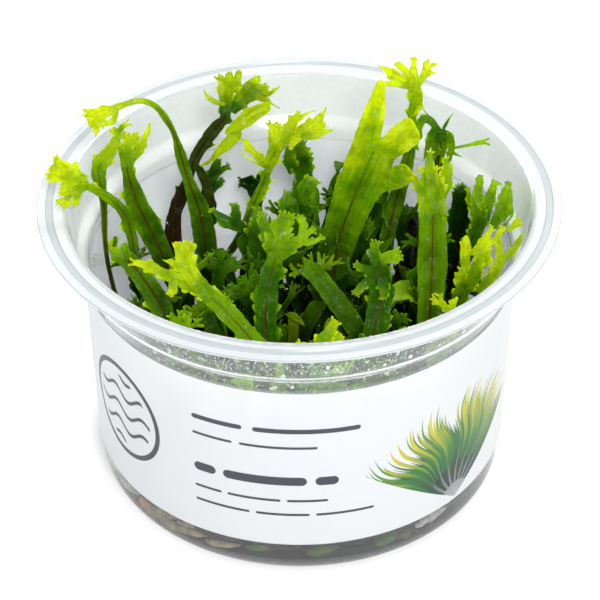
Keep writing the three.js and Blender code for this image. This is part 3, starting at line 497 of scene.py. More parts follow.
def new_tree(name: str) -> tuple[Material, NodeTree]:
    """Starts a material with an empty node tree.

    Args:
        name: the material's name.

    Returns:
        The material and its tree.
    """
    material = bpy.data.materials.new(name)
    material.use_nodes = True
    material.node_tree.nodes.clear()
    return material, material.node_tree


def lit_through(tree: NodeTree, body: Node, tint: str) -> Node:
    """Lets the lamps shine through a clear body, so that its shadow stays light.

    Args:
        tree: the material's node tree.
        body: the body's shader.
        tint: the hex colour that their light takes on.

    Returns:
        The shader of the body and its shadow.
    """
    lamps = add_node(tree, "LightPath").outputs["Is Shadow Ray"]
    glow = add_node(tree, "BsdfTransparent", {"Color": linear(tint)})
    return add_node(tree, "MixShader", {0: lamps, 1: body, 2: glow})


@dataclass(frozen=True)
class FrondTissue:
    """Living fern blade: thin and waxy, so light shines through it and water lies on it in glossy streaks."""

    name: str
    foot: str
    blade: str
    tip: str
    rib: str = "#6b3d14"
    rib_strength: float = 0.8
    shine_through: float = 0.4

    def make(self) -> Material:
        """Builds the tissue from the blade's own measures along and across.

        Returns:
            The material.
        """
        material, tree = new_tree(self.name)
        place = add_node(tree, "TexCoord").outputs["Object"]
        along = add_node(tree, "Attribute", attribute_name="along").outputs["Fac"]
        rib = add_node(tree, "Attribute", attribute_name="rib").outputs["Fac"]
        # Patches about 5 mm across are riper or paler than the rest.
        patches = add_node(tree, "TexNoise", {"Vector": place, "Scale": 200.0, "Detail": 4.0,
                                              "Roughness": 0.6})
        drift = add_node(tree, "Math", {0: patches, 1: 0.7, 2: -0.33}, operation="MULTIPLY_ADD")
        ripe = add_node(tree, "Math", {0: along, 1: drift}, operation="ADD", use_clamp=True)
        # Painted light: the margin is painted yellower, where light shines through the thin edge.
        young = add_node(tree, "MapRange", {"Value": rib, "From Min": 0.7, "From Max": 2.6, "To Max": 0.16},
                         interpolation_type="SMOOTHSTEP")
        ripe = add_node(tree, "Math", {0: ripe, 1: young}, operation="ADD", use_clamp=True)
        green = add_node(tree, "ValToRGB", {0: ripe}, ((0.2, self.foot), (0.62, self.blade), (1.0, self.tip)))
        # The midrib is a brown line that fades towards the crest.
        line = add_node(tree, "MapRange", {"Value": rib, "From Min": 0.34, "From Max": 0.12},
                        interpolation_type="SMOOTHSTEP")
        fade = add_node(tree, "MapRange", {"Value": along, "From Min": 0.3, "From Max": 0.85,
                                           "To Min": self.rib_strength, "To Max": 0.0},
                        interpolation_type="SMOOTHSTEP")
        ribbed = add_node(tree, "Math", {0: line, 1: fade}, operation="MULTIPLY")
        colours = {0: ribbed, 6: green, 7: linear(self.rib)}
        colour = add_node(tree, "Mix", colours, data_type="RGBA").outputs[2]
        # Cells about 1.1 mm across stand for the net of side veins.
        net = add_node(tree, "TexVoronoi", {"Vector": place, "Scale": 900.0}, feature="DISTANCE_TO_EDGE")
        veins = add_node(tree, "MapRange", {"Value": net, "From Max": 0.3, "To Min": 0.9})
        # Streaks under 1 mm wide run lengthwise, lighter and darker than the rest.
        rows = add_node(tree, "Math", {0: along, 1: 5.0}, operation="MULTIPLY")
        grid = add_node(tree, "CombineXYZ", {0: rib, 1: rows, 2: ripe})
        streaks = add_node(tree, "TexNoise", {"Vector": grid, "Scale": 2.6, "Detail": 3.0})
        tone = add_node(tree, "MapRange", {"Value": streaks, "From Min": 0.35, "From Max": 0.65,
                                           "To Min": 0.84, "To Max": 1.14})
        # Painted shade: blades are darkened towards the crowded foot of the cup, where the leaves above shade
        # them.
        height = add_node(tree, "SeparateXYZ", {0: place}).outputs["Z"]
        shade = add_node(tree, "MapRange", {"Value": height, "From Min": 14 * MM, "From Max": 50 * MM,
                                            "To Min": 0.16}, interpolation_type="SMOOTHSTEP")
        for factor in (veins, tone, shade):
            colours = {0: 1.0, 6: colour, 7: factor}
            colour = add_node(tree, "Mix", colours, data_type="RGBA", blend_type="MULTIPLY").outputs[2]
        # Crinkles about 2 mm long and the net of veins break up the highlights.
        crinkle = add_node(tree, "TexNoise", {"Vector": place, "Scale": 520.0, "Detail": 3.0})
        relief = add_node(tree, "Math", {0: net, 1: 0.2, 2: crinkle}, operation="MULTIPLY_ADD")
        bump = add_node(tree, "Bump", {"Height": relief, "Strength": 0.8, "Distance": 0.45 * MM})
        rough = add_node(tree, "MapRange", {"Value": crinkle, "From Min": 0.3, "From Max": 0.7,
                                            "To Min": 0.28, "To Max": 0.5})
        # Water lies in upright streaks about 1 mm wide, which catch the lamps as sparks.
        tall = add_node(tree, "Mapping", {"Vector": place, "Scale": (1.0, 1.0, 0.4)})
        water = add_node(tree, "TexNoise", {"Vector": tall, "Scale": 900.0, "Detail": 2.0})
        wet = add_node(tree, "MapRange", {"Value": water, "From Min": 0.54, "From Max": 0.6},
                       interpolation_type="SMOOTHSTEP")
        ripples = add_node(tree, "Bump", {"Height": water, "Strength": 1.0, "Distance": 2.0 * MM})
        face = add_node(tree, "BsdfPrincipled", {
            "Base Color": colour, "Roughness": rough, "IOR": 1.42, "Specular IOR Level": 0.07, "Normal": bump,
            "Coat Weight": wet, "Coat Roughness": 0.14, "Coat IOR": 1.7, "Coat Normal": ripples})
        bright = add_node(tree, "HueSaturation", {"Color": colour, "Hue": 0.496, "Saturation": 1.2,
                                                  "Value": 1.6})
        through = add_node(tree, "BsdfTranslucent", {"Color": bright})
        leaf = add_node(tree, "MixShader", {0: self.shine_through, 1: face, 2: through})
        add_node(tree, "OutputMaterial", {"Surface": leaf})
        return material


@dataclass(frozen=True)
class ClearPlastic:
    """Thermoformed polypropylene: clear, faintly milky, and fogged where water condenses on it."""

    name: str
    haze: float
    roughness: float
    tone: str = "#fbfcfd"
    speckle: float = 0.4
    # A glow, where given, is painted light: the plastic shines by itself though it is no lamp.
    glow: float = 0.0
    back_haze: float = 0.0

    def make(self) -> Material:
        """Builds the plastic.

        Returns:
            The material.
        """
        material, tree = new_tree(self.name)
        place = add_node(tree, "TexCoord").outputs["Object"]
        # Fog is a speckle of about 1 mm.
        speckle = add_node(tree, "TexNoise", {"Vector": place, "Scale": 900.0, "Detail": 2.0})
        clear = add_node(tree, "MapRange", {"Value": speckle, "From Min": 0.35, "From Max": 0.65,
                                            "To Min": 1 - self.haze * (1 - self.speckle),
                                            "To Max": 1 - self.haze * (1 + self.speckle)})
        if self.back_haze:
            # The fog thickens gradually from the front of the cup to its sides and back.
            depth = add_node(tree, "SeparateXYZ", {0: place}).outputs["Y"]
            fog = add_node(tree, "MapRange", {"Value": depth, "From Min": -40 * MM, "From Max": -14 * MM,
                                              "To Max": self.back_haze}, interpolation_type="SMOOTHSTEP")
            clear = add_node(tree, "Math", {0: clear, 1: fog}, operation="SUBTRACT", use_clamp=True)
        shell = add_node(tree, "BsdfPrincipled", {
            "Base Color": linear(self.tone), "Roughness": self.roughness, "IOR": 1.49,
            "Transmission Weight": clear, "Emission Color": linear(self.tone),
            "Emission Strength": self.glow})
        add_node(tree, "OutputMaterial", {"Surface": lit_through(tree, shell, "#f4f6f7")})
        return material


@dataclass(frozen=True)
class PlainSurface:
    """A surface of one tone, broken up by grain of a size in millimetres, with a relief in millimetres."""

    name: str
    dark: str
    light: str
    grain: float
    roughness: float
    relief: float = 0.1
    glow: float = 0.0

    def make(self) -> Material:
        """Builds the surface.

        Returns:
            The material.
        """
        material, tree = new_tree(self.name)
        place = add_node(tree, "TexCoord").outputs["Object"]
        grain = add_node(tree, "TexNoise", {"Vector": place, "Scale": 1 / (self.grain * MM), "Detail": 4.0})
        colour = add_node(tree, "ValToRGB", {0: grain}, ((0.35, self.dark), (0.65, self.light)))
        bump = add_node(tree, "Bump", {"Height": grain, "Strength": 0.5, "Distance": self.relief * MM})
        surface = add_node(tree, "BsdfPrincipled", {
            "Base Color": colour, "Roughness": self.roughness, "Normal": bump,
            "Emission Color": linear(self.light), "Emission Strength": self.glow})
        add_node(tree, "OutputMaterial", {"Surface": surface})
        return material


@dataclass(frozen=True)
class LabelPrint:
    """Coated white stock printed with dark grey bars, a ring with waves and a tuft of leaves."""

    name: str = "printed_label_stock"
    paper: str = "#eef0f2"
    ink: str = "#4a4f57"
    # Each bar's left end, right end and height on the label, and its thickness.
    bars: tuple[tuple[float, float, float, float], ...] = (
        (-21, -11, 37.5, 1.1), (-9, 11, 37.5, 1.1), (-21, -13, 33.4, 0.6), (-11.6, 3, 33.4, 0.6),
        (-21, -16.5, 25, 2.1), (-15, 1, 25, 2.1), (2.6, 7, 25, 2.1), (-21, -15.5, 20, 0.6),
        (-14.3, -4, 20, 0.6), (-2.8, 5, 20, 0.6), (-21, -10, 16.4, 0.6), (-8.8, 1.5, 16.4, 0.6),
        (2.7, 14, 16.4, 0.6),
    )
    # The ring's middle and radius, the thickness of its line, and the point that the tuft fans out from.
    ring: tuple[float, float, float] = (-40.0, 28.0, 10.5)
    ring_line: float = 1.1
    tuft: tuple[float, float] = (33.5, 9.125)
    # The tuft's layers: blades to a radian, where they start, how long they are and their colours.
    layers: tuple[tuple[int, float, float, tuple[str, str, str]], ...] = (
        (30, 0.0, 22.0, ("#22392f", "#25483a", "#2f6a3c")),
        (34, 4.0, 20.0, ("#22392f", "#2c5f38", "#6a9c3a")),
        (26, 9.0, 15.0, ("#25483a", "#3f8a3a", "#d7cf45")),
    )
    # The orange dot on the back: its middle and radius.
    dot: tuple[float, float, float] = (104.5, 27.5, 2.1)

    def bar(
        self, tree: NodeTree, flat: Node, left: float, right: float, height: float, thickness: float
    ) -> Node:
        """Masks one bar with round ends.

        Args:
            tree: the material's node tree.
            flat: the place on the label.
            left: the bar's left end.
            right: its right end.
            height: the height of its middle.
            thickness: its thickness.

        Returns:
            The mask.
        """
        half = thickness / 2
        middle, reach = ((left + right) / 2, height, 0), ((right - left) / 2 - half, 0, 0)
        beyond = flat
        for operation, step in (("SUBTRACT", middle), ("ABSOLUTE", middle), ("SUBTRACT", reach),
                                ("MAXIMUM", (0, 0, 0))):
            beyond = add_node(tree, "VectorMath", {0: beyond, 1: step}, operation=operation)
        away = add_node(tree, "VectorMath", {0: beyond}, operation="LENGTH").outputs["Value"]
        return add_node(tree, "Math", {0: away, 1: half}, operation="LESS_THAN")

    def draw_ring(self, tree: NodeTree, flat: Node) -> Node:
        """Masks the ring with level waves in it.

        Args:
            tree: the material's node tree.
            flat: the place on the label.

        Returns:
            The mask.
        """
        *middle, radius = self.ring
        offset = add_node(tree, "VectorMath", {0: flat, 1: (*middle, 0)}, operation="SUBTRACT")
        away = add_node(tree, "VectorMath", {0: offset}, operation="LENGTH").outputs["Value"]
        split = add_node(tree, "SeparateXYZ", {0: offset})
        swell = add_node(tree, "Math", {0: split, 1: 0.75}, operation="MULTIPLY")
        swell = add_node(tree, "Math", {0: swell}, operation="SINE")
        level = add_node(tree, "Math", {0: swell, 1: 1.1, 2: split.outputs["Y"]}, operation="MULTIPLY_ADD")
        wave = add_node(tree, "Math", {0: level, 1: 2.1}, operation="PINGPONG")
        wave = add_node(tree, "Math", {0: wave, 1: 0.45}, operation="LESS_THAN")
        inside = add_node(tree, "Math", {0: away, 1: radius - 2}, operation="LESS_THAN")
        wave = add_node(tree, "Math", {0: wave, 1: inside}, operation="MULTIPLY")
        edge = add_node(tree, "Math", {0: away, 1: radius, 2: self.ring_line / 2}, operation="COMPARE")
        return add_node(tree, "Math", {0: wave, 1: edge}, operation="MAXIMUM")

    def draw_tuft(self, tree: NodeTree, flat: Node, printed: NodeSocket) -> NodeSocket:
        """Lays the tuft over the print, dark at its foot and yellow at its tips.

        Args:
            tree: the material's node tree.
            flat: the place on the label.
            printed: the colour of the print so far.

        Returns:
            The colour with the tuft.
        """
        offset = add_node(tree, "VectorMath", {0: flat, 1: (*self.tuft, 0)}, operation="SUBTRACT")
        away = add_node(tree, "VectorMath", {0: offset}, operation="LENGTH").outputs["Value"]
        split = add_node(tree, "SeparateXYZ", {0: offset})
        swing = add_node(tree, "Math", {0: split, 1: split.outputs["Y"]}, operation="ARCTAN2")
        within = add_node(tree, "Math", {0: swing, 1: 0.0, 2: 0.95}, operation="COMPARE")
        bend = add_node(tree, "Math", {0: away, 1: 0.35}, operation="MULTIPLY")
        bend = add_node(tree, "Math", {0: bend}, operation="SINE")
        bent = add_node(tree, "Math", {0: bend, 1: 0.05, 2: swing}, operation="MULTIPLY_ADD")
        for count, start, span, (foot, middle, tip) in self.layers:
            fan = add_node(tree, "Math", {0: bent, 1: count}, operation="MULTIPLY")
            blade = add_node(tree, "Math", {0: fan}, operation="FLOOR")
            chance = add_node(tree, "TexWhiteNoise", {"W": blade}, noise_dimensions="1D")
            # A blade's length varies by 9 mm, and it tapers to its tip.
            ends = {0: chance, 1: 9.0, 2: start + span - 4.5}
            reach = add_node(tree, "Math", ends, operation="MULTIPLY_ADD")
            left = add_node(tree, "Math", {0: reach, 1: away}, operation="SUBTRACT")
            taper = add_node(tree, "Math", {0: left, 1: span}, operation="DIVIDE", use_clamp=True)
            taper = add_node(tree, "Math", {0: taper, 1: 1.6}, operation="MULTIPLY")
            slim = add_node(tree, "Math", {0: away, 1: 0.02, 2: 0.22}, operation="MULTIPLY_ADD")
            slim = add_node(tree, "Math", {0: slim, 1: taper}, operation="MINIMUM")
            side = add_node(tree, "Math", {0: fan, 1: blade}, operation="SUBTRACT")
            leaf = add_node(tree, "Math", {0: side, 1: 0.5, 2: slim}, operation="COMPARE")
            past = add_node(tree, "Math", {0: away, 1: start}, operation="GREATER_THAN")
            for mask in (within, past):
                leaf = add_node(tree, "Math", {0: leaf, 1: mask}, operation="MULTIPLY")
            ripe = add_node(tree, "Math", {0: away, 1: 30.0}, operation="DIVIDE")
            terms = {0: chance, 1: 0.3, 2: ripe}
            ripe = add_node(tree, "Math", terms, operation="MULTIPLY_ADD", use_clamp=True)
            green = add_node(tree, "ValToRGB", {0: ripe}, ((0.3, foot), (0.65, middle), (1.0, tip)))
            printed = add_node(tree, "Mix", {0: leaf, 6: printed, 7: green}, data_type="RGBA").outputs[2]
        return printed

    def make(self) -> Material:
        """Builds the print from the label's own flat measures in millimetres.

        Returns:
            The material.
        """
        material, tree = new_tree(self.name)
        flat = add_node(tree, "UVMap", uv_map="print")
        ink = self.draw_ring(tree, flat)
        for bar in self.bars:
            ink = add_node(tree, "Math", {0: ink, 1: self.bar(tree, flat, *bar)}, operation="MAXIMUM")
        colours = {0: ink, 6: linear(self.paper), 7: linear(self.ink)}
        printed = add_node(tree, "Mix", colours, data_type="RGBA").outputs[2]
        self.finish_stock(tree, self.draw_tuft(tree, flat, printed), 0.0)
        return material

    def finish_stock(self, tree: NodeTree, colour: NodeSocket, glow: float) -> None:
        """Gives a colour the sheen of coated stock that lets some light through.

        Args:
            tree: the material's node tree.
            colour: the colour.
            glow: how brightly it glows.
        """
        body = add_node(tree, "BsdfPrincipled", {"Base Color": colour, "Roughness": 0.3,
                                                 "Emission Color": colour, "Emission Strength": glow})
        through = add_node(tree, "BsdfTranslucent", {"Color": colour})
        stock = add_node(tree, "MixShader", {0: 0.3, 1: body, 2: through})
        add_node(tree, "OutputMaterial", {"Surface": stock})

    def make_back(self) -> Material:
        """Builds the bare back of the label, with one orange dot.

        Returns:
            The material.
        """
        material, tree = new_tree("bare_label_back")
        *middle, radius = self.dot
        flat = add_node(tree, "UVMap", uv_map="print")
        gap = add_node(tree, "VectorMath", {0: flat, 1: (*middle, 0)}, operation="DISTANCE").outputs["Value"]
        dot = add_node(tree, "Math", {0: gap, 1: radius}, operation="LESS_THAN")
        colours = {0: dot, 6: linear("#e6e8e8"), 7: linear("#e8622e")}
        # The back glows: painted light that lifts the inside of the label out of the cup's shade.
        self.finish_stock(tree, add_node(tree, "Mix", colours, data_type="RGBA").outputs[2], 0.3)
        return material


@dataclass(frozen=True)
class AgarGel:
    """Agar gel: clear, with a tint that deepens with thickness."""

    name: str
    tint: str
    ior: float
    density: float
    lamp_tint: str
    roughness: float = 0.02

    def make(self) -> Material:
        """Builds the gel.

        Returns:
            The material.
        """
        material, tree = new_tree(self.name)
        body = add_node(tree, "BsdfPrincipled", {"Base Color": linear("#ffffff"), "Roughness": self.roughness,
                                                 "IOR": self.ior, "Transmission Weight": 1.0})
        depth = add_node(tree, "VolumeAbsorption", {"Color": linear(self.tint), "Density": self.density})
        surface = lit_through(tree, body, self.lamp_tint)
        add_node(tree, "OutputMaterial", {"Surface": surface, "Volume": depth})
        return material


def deselect_all() -> None:
    """Leaves object mode with nothing selected."""
    if bpy.context.object and bpy.context.object.mode != "OBJECT":
        bpy.ops.object.mode_set(mode="OBJECT")
    bpy.ops.object.select_all(action="DESELECT")


def pick(piece: Object) -> None:
    """Selects one piece and makes it active.

    Args:
        piece: the piece.
    """
    deselect_all()
    piece.select_set(True)
    bpy.context.view_layer.objects.active = piece


def smooth(piece: Object, angle: float = 40.0) -> None:
    """Shades a piece smooth, with edges kept where faces meet past an angle in degrees."""
    pick(piece)
    bpy.ops.object.shade_smooth_by_angle(angle=math.radians(angle))


def apply_modifier(piece: Object, kind: str, **settings: object) -> None:
    """Adds a modifier to a piece and applies it.

    Args:
        piece: the piece.
        kind: the modifier's type.
        **settings: values of the modifier's properties.
    """
    pick(piece)
    modifier = piece.modifiers.new(kind.title(), kind)
    for name, value in settings.items():
        setattr(modifier, name, value)
    bpy.ops.object.modifier_apply(modifier=modifier.name)


def ride(piece: Object, slot: str, *nodes: str) -> None:
    """Hangs a finished piece on the body.

    Args:
        piece: the piece.
        slot: the name of a material slot; not used.
        *nodes: the solids that the piece stands for.
    """
    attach(piece, BODY)
    if nodes:
        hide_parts(*nodes)
    LOG.info("%s: %d faces", piece.name, len(piece.data.polygons))


def turned_piece(name: str, outline: Sequence[tuple[float, float]], steps: int) -> Object:
    """Spins a closed outline about the upright axis.

    Args:
        name: the piece's name.
        outline: radius and height pairs in millimetres, from axis to axis.
        steps: how many faces go round.

    Returns:
        The piece, with its faces pointing out.
    """
    deselect_all()
    (radius, height), *rest = outline
    bpy.ops.mesh.primitive_plane_add(size=MM, location=(radius * MM, 0, height * MM))
    piece = bpy.context.object
    piece.name = name
    bpy.ops.object.mode_set(mode="EDIT")
    bpy.context.tool_settings.mesh_select_mode = (True, False, False)
    bpy.ops.mesh.merge(type="CENTER")
    for next_radius, next_height in rest:
        move = ((next_radius - radius) * MM, 0, (next_height - height) * MM)
        bpy.ops.mesh.extrude_region_move(TRANSFORM_OT_translate={"value": move})
        radius, height = next_radius, next_height
    bpy.ops.mesh.select_all(action="SELECT")
    bpy.ops.mesh.spin(steps=steps, angle=math.tau, center=(0, 0, 0), axis=(0, 0, 1))
    bpy.ops.mesh.select_all(action="SELECT")
    bpy.ops.mesh.remove_doubles(threshold=0.001 * MM)
    bpy.ops.mesh.normals_make_consistent(inside=False)
    bpy.ops.object.mode_set(mode="OBJECT")
    bpy.ops.object.transform_apply(location=True, rotation=True, scale=True)
    return piece


def arc(
    centre: tuple[float, float], radius: float, start: float, stop: float, steps: int
) -> list[tuple[float, float]]:
    """Lists points on an arc.

    Args:
        centre: the arc's centre.
        radius: its radius.
        start: its first angle in degrees.
        stop: its last angle in degrees.
        steps: how many spans it has.

    Returns:
        The points, both ends with them.
    """
    points = []
    for step in range(steps + 1):
        angle = math.radians(start + (stop - start) * step / steps)
        points.append((centre[0] + radius * math.cos(angle), centre[1] + radius * math.sin(angle)))
    return points


@dataclass(frozen=True)
class Heading:
    """A place on a growing leaf: where it is, which way it grows and which way is across it."""

    place: Vector
    ahead: Vector
    across: Vector

    @property
    def outward(self) -> Vector:
        """The way the upper face looks."""
        return self.across.cross(self.ahead).normalized()

    def turned(self, yaw: float = 0.0, pitch: float = 0.0, roll: float = 0.0) -> "Heading":
        """Turns the heading.

        Args:
            yaw: degrees in the blade's plane, towards its right edge.
            pitch: degrees towards its upper face.
            roll: degrees about the way it grows.

        Returns:
            The new heading.
        """
        ahead, across, outward = self.ahead, self.across, self.outward
        turn = Matrix.Rotation(math.radians(yaw), 3, -outward)
        ahead, across = turn @ ahead, turn @ across
        turn = Matrix.Rotation(math.radians(pitch), 3, across)
        ahead, outward = turn @ ahead, turn @ outward
        turn = Matrix.Rotation(math.radians(roll), 3, ahead)
        return Heading(self.place, ahead, turn @ across)

    def moved(self, step: float) -> "Heading":
        """Moves the heading on by a step in millimetres."""
        return Heading(self.place + self.ahead * step, self.ahead, self.across)

    def beside(self, step: float) -> "Heading":
        """Moves the heading to its right by a step in millimetres."""
        return Heading(self.place + self.across * step, self.ahead, self.across)


@dataclass(frozen=True)
class Spine:
    """The smooth curve through a path's points, which the solids follow too."""

    points: tuple[Vector, ...]
    face: Vector

    @classmethod
    def through(cls, path: Sequence[Sequence[float]], turn: float = 0.0) -> "Spine":
        """Makes a spine whose face looks up a little.

        Args:
            path: points in millimetres.
            turn: degrees by which the face looks away from the front.

        Returns:
            The spine.
        """
        angle = math.radians(turn)
        face = Vector((math.sin(angle), -math.cos(angle), 0.5)).normalized()
        return cls(tuple(Vector(p) for p in path), face)

    def at(self, t: float) -> Vector:
        """Follows the curve.

        Args:
            t: a share of the path from 0 to 1.

        Returns:
            The point there.
        """
        points = self.points
        reach = max(0.0, min(1.0, t)) * (len(points) - 1)
        first = min(int(reach), len(points) - 2)
        w = reach - first
        b, c = points[first], points[first + 1]
        a = points[first - 1] if first else 2 * b - c
        d = points[first + 2] if first + 2 < len(points) else 2 * c - b
        leave, arrive = (c - a) / 2, (d - b) / 2
        square, cube = 3 * (c - b) - 2 * leave - arrive, 2 * (b - c) + leave + arrive
        return b + leave * w + square * w * w + cube * w ** 3

    def heading(self, t: float) -> Heading:
        """Follows the curve and tells its way.

        Args:
            t: a share of the path from 0 to 1.

        Returns:
            The heading there.
        """
        small = 1e-3
        ahead = (self.at(t + small) - self.at(t - small)).normalized()
        return Heading(self.at(t), ahead, ahead.cross(self.face).normalized())

    def length(self, steps: int = 40) -> float:
        """Returns the length in millimetres."""
        places = [self.at(step / steps) for step in range(steps + 1)]
        return sum((b - a).length for a, b in zip(places, places[1:]))


def width_at(widths: Sequence[float], t: float) -> float:
    """Reads a width between two stations.

    Args:
        widths: widths at even steps along a path.
        t: a share of the path from 0 to 1.

    Returns:
        The width there.
    """
    place = t * (len(widths) - 1)
    before = min(int(place), len(widths) - 2)
    return widths[before] + (widths[before + 1] - widths[before]) * (place - before)


@dataclass
class LeafCage:
    """The coarse mesh of one frond, grown in edit mode by extruding its open edge."""

    name: str
    piece: Object | None = field(init=False, default=None)

    def start(self, first: Sequence[Vector], second: Sequence[Vector], along: float = 0.0) -> list[int]:
        """Adds a grid of two faces as the foot of the frond or of a lobe.

        Args:
            first: the three lowest points.
            second: the three points above them.
            along: their share of the way from root to tip.

        Returns:
            The numbers of the upper points.
        """
        if self.piece is None:
            deselect_all()
            bpy.ops.mesh.primitive_grid_add(x_subdivisions=2, y_subdivisions=1, size=MM)
            self.piece = bpy.context.object
            self.piece.name = self.name
            bpy.ops.object.mode_set(mode="EDIT")
            bpy.context.tool_settings.mesh_select_mode = (False, True, False)
            mesh = self.edited()
            mesh.verts.layers.float.new("along")
            mesh.verts.layers.float.new("rib")
        else:
            bpy.ops.mesh.primitive_grid_add(x_subdivisions=2, y_subdivisions=1, size=MM)
        base = len(self.edited().verts) - 6
        rib = 0.0 if base == 0 else 0.5
        self.set_points([base, base + 1, base + 2], first, along, (1, rib, 1))
        self.set_points([base + 3, base + 4, base + 5], second, along, (1, rib, 1))
        return [base + 3, base + 4, base + 5]

    def edited(self) -> bmesh.types.BMesh:
        """Takes up the mesh in edit mode.

        Returns:
            The mesh, with its points numbered.
        """
        mesh = bmesh.from_edit_mesh(self.piece.data)
        mesh.verts.ensure_lookup_table()
        mesh.verts.index_update()
        return mesh

    def set_points(
        self, chain: Sequence[int], places: Sequence[Vector], along: float, ribs: Sequence[float]
    ) -> None:
        """Puts points in place and gives them their measures.

        Args:
            chain: the points' numbers.
            places: where they go, in millimetres.
            along: their share of the way from root to tip.
            ribs: how far each is from the midrib, in millimetres.
        """
        mesh = self.edited()
        along_layer = mesh.verts.layers.float["along"]
        rib_layer = mesh.verts.layers.float["rib"]
        for at, place, rib in zip(chain, places, ribs):
            point = mesh.verts[at]
            point.co = place * MM
            point[along_layer] = along
            point[rib_layer] = rib

    def select_chain(self, chain: Sequence[int]) -> bmesh.types.BMesh:
        """Selects the edges between neighbouring points of a chain.

        Args:
            chain: the points' numbers.

        Returns:
            The mesh in edit mode.
        """
        bpy.ops.mesh.select_all(action="DESELECT")
        mesh = self.edited()
        for a, b in zip(chain, chain[1:]):
            mesh.edges.get((mesh.verts[a], mesh.verts[b])).select = True
        mesh.select_flush(True)
        return mesh

    def push(
        self, chain: Sequence[int], places: Sequence[Vector], along: float, ribs: Sequence[float]
    ) -> list[int]:
        """Extrudes a chain of edges to new places.

        Args:
            chain: the numbers of the chain's points.
            places: where the new points go, in millimetres.
            along: the new points' share of the way from root to tip.
            ribs: how far each new point is from the midrib, in millimetres.

        Returns:
            The new points' numbers, in the chain's order.
        """
        mesh = self.select_chain(chain)
        old = [mesh.verts[at].co.copy() for at in chain]
        bpy.ops.mesh.extrude_edges_move()
        mesh = self.edited()
        fresh = [point for point in mesh.verts if point.select]
        new = [min(fresh, key=lambda point, co=co: (point.co - co).length_squared).index for co in old]
        self.set_points(new, places, along, ribs)
        return new

    def split(self, chain: Sequence[int], cuts: int) -> list[int]:
        """Cuts each edge of a chain into equal parts.

        Args:
            chain: the numbers of the chain's points.
            cuts: how many cuts each edge gets.

        Returns:
            The numbers of all the points along the chain, in order.
        """
        for a, b in zip(chain, chain[1:]):
            self.select_chain((a, b))
            bpy.ops.mesh.subdivide(number_cuts=cuts, ngon=True)
        mesh = self.edited()
        order = [chain[0]]
        for end in chain[1:]:
            while order[-1] != end:
                here = mesh.verts[order[-1]]
                ahead = [edge.other_vert(here) for edge in here.link_edges if edge.is_boundary]
                goal = mesh.verts[end].co
                ahead = [point for point in ahead if point.index not in order]
                order.append(min(ahead, key=lambda point: (point.co - goal).length_squared).index)
        return order

    def crumple(self, depth: float, grain: float, offset: float) -> None:
        """Buckles the blade beside its midrib and roughens its margin.

        Args:
            depth: how far it buckles, in millimetres.
            grain: the buckles' size in millimetres.
            offset: a shift that gives each frond its own buckles.
        """
        ribs = self.piece.data.attributes["rib"].data
        moves = []
        for point, rib in zip(self.piece.data.vertices, ribs):
            spot = point.co / MM + Vector((offset, 0, 0))
            free = min(1.0, rib.value / 1.6)
            swell = noise.noise(spot / grain) + 0.4 * noise.noise(spot / (grain * 0.4))
            moves.append(point.normal * (swell * depth * free) + noise.noise_vector(spot / (grain * 0.3))
                         * (depth * 0.3 * free))
        for point, move in zip(self.piece.data.vertices, moves):
            point.co += move * MM

    def close(
        self, material: Material, levels: int, thickness: float, depth: float, grain: float, offset: float
    ) -> Object:
        """Leaves edit mode, rounds and buckles the cage and gives it its thickness.

        Args:
            material: the frond's finish.
            levels: how often the cage is subdivided.
            thickness: the blade's thickness in millimetres.
            depth: how far the blade buckles, in millimetres.
            grain: the buckles' size in millimetres.
            offset: a shift that gives each frond its own buckles.

        Returns:
            The finished piece.
        """
        bpy.ops.object.mode_set(mode="OBJECT")
        apply_modifier(self.piece, "SUBSURF", levels=levels, render_levels=levels)
        self.crumple(depth, grain, offset)
        apply_modifier(self.piece, "SOLIDIFY", thickness=thickness * MM, offset=0.0)
        self.piece.data.materials.append(material)
        smooth(self.piece, 50)
        return self.piece


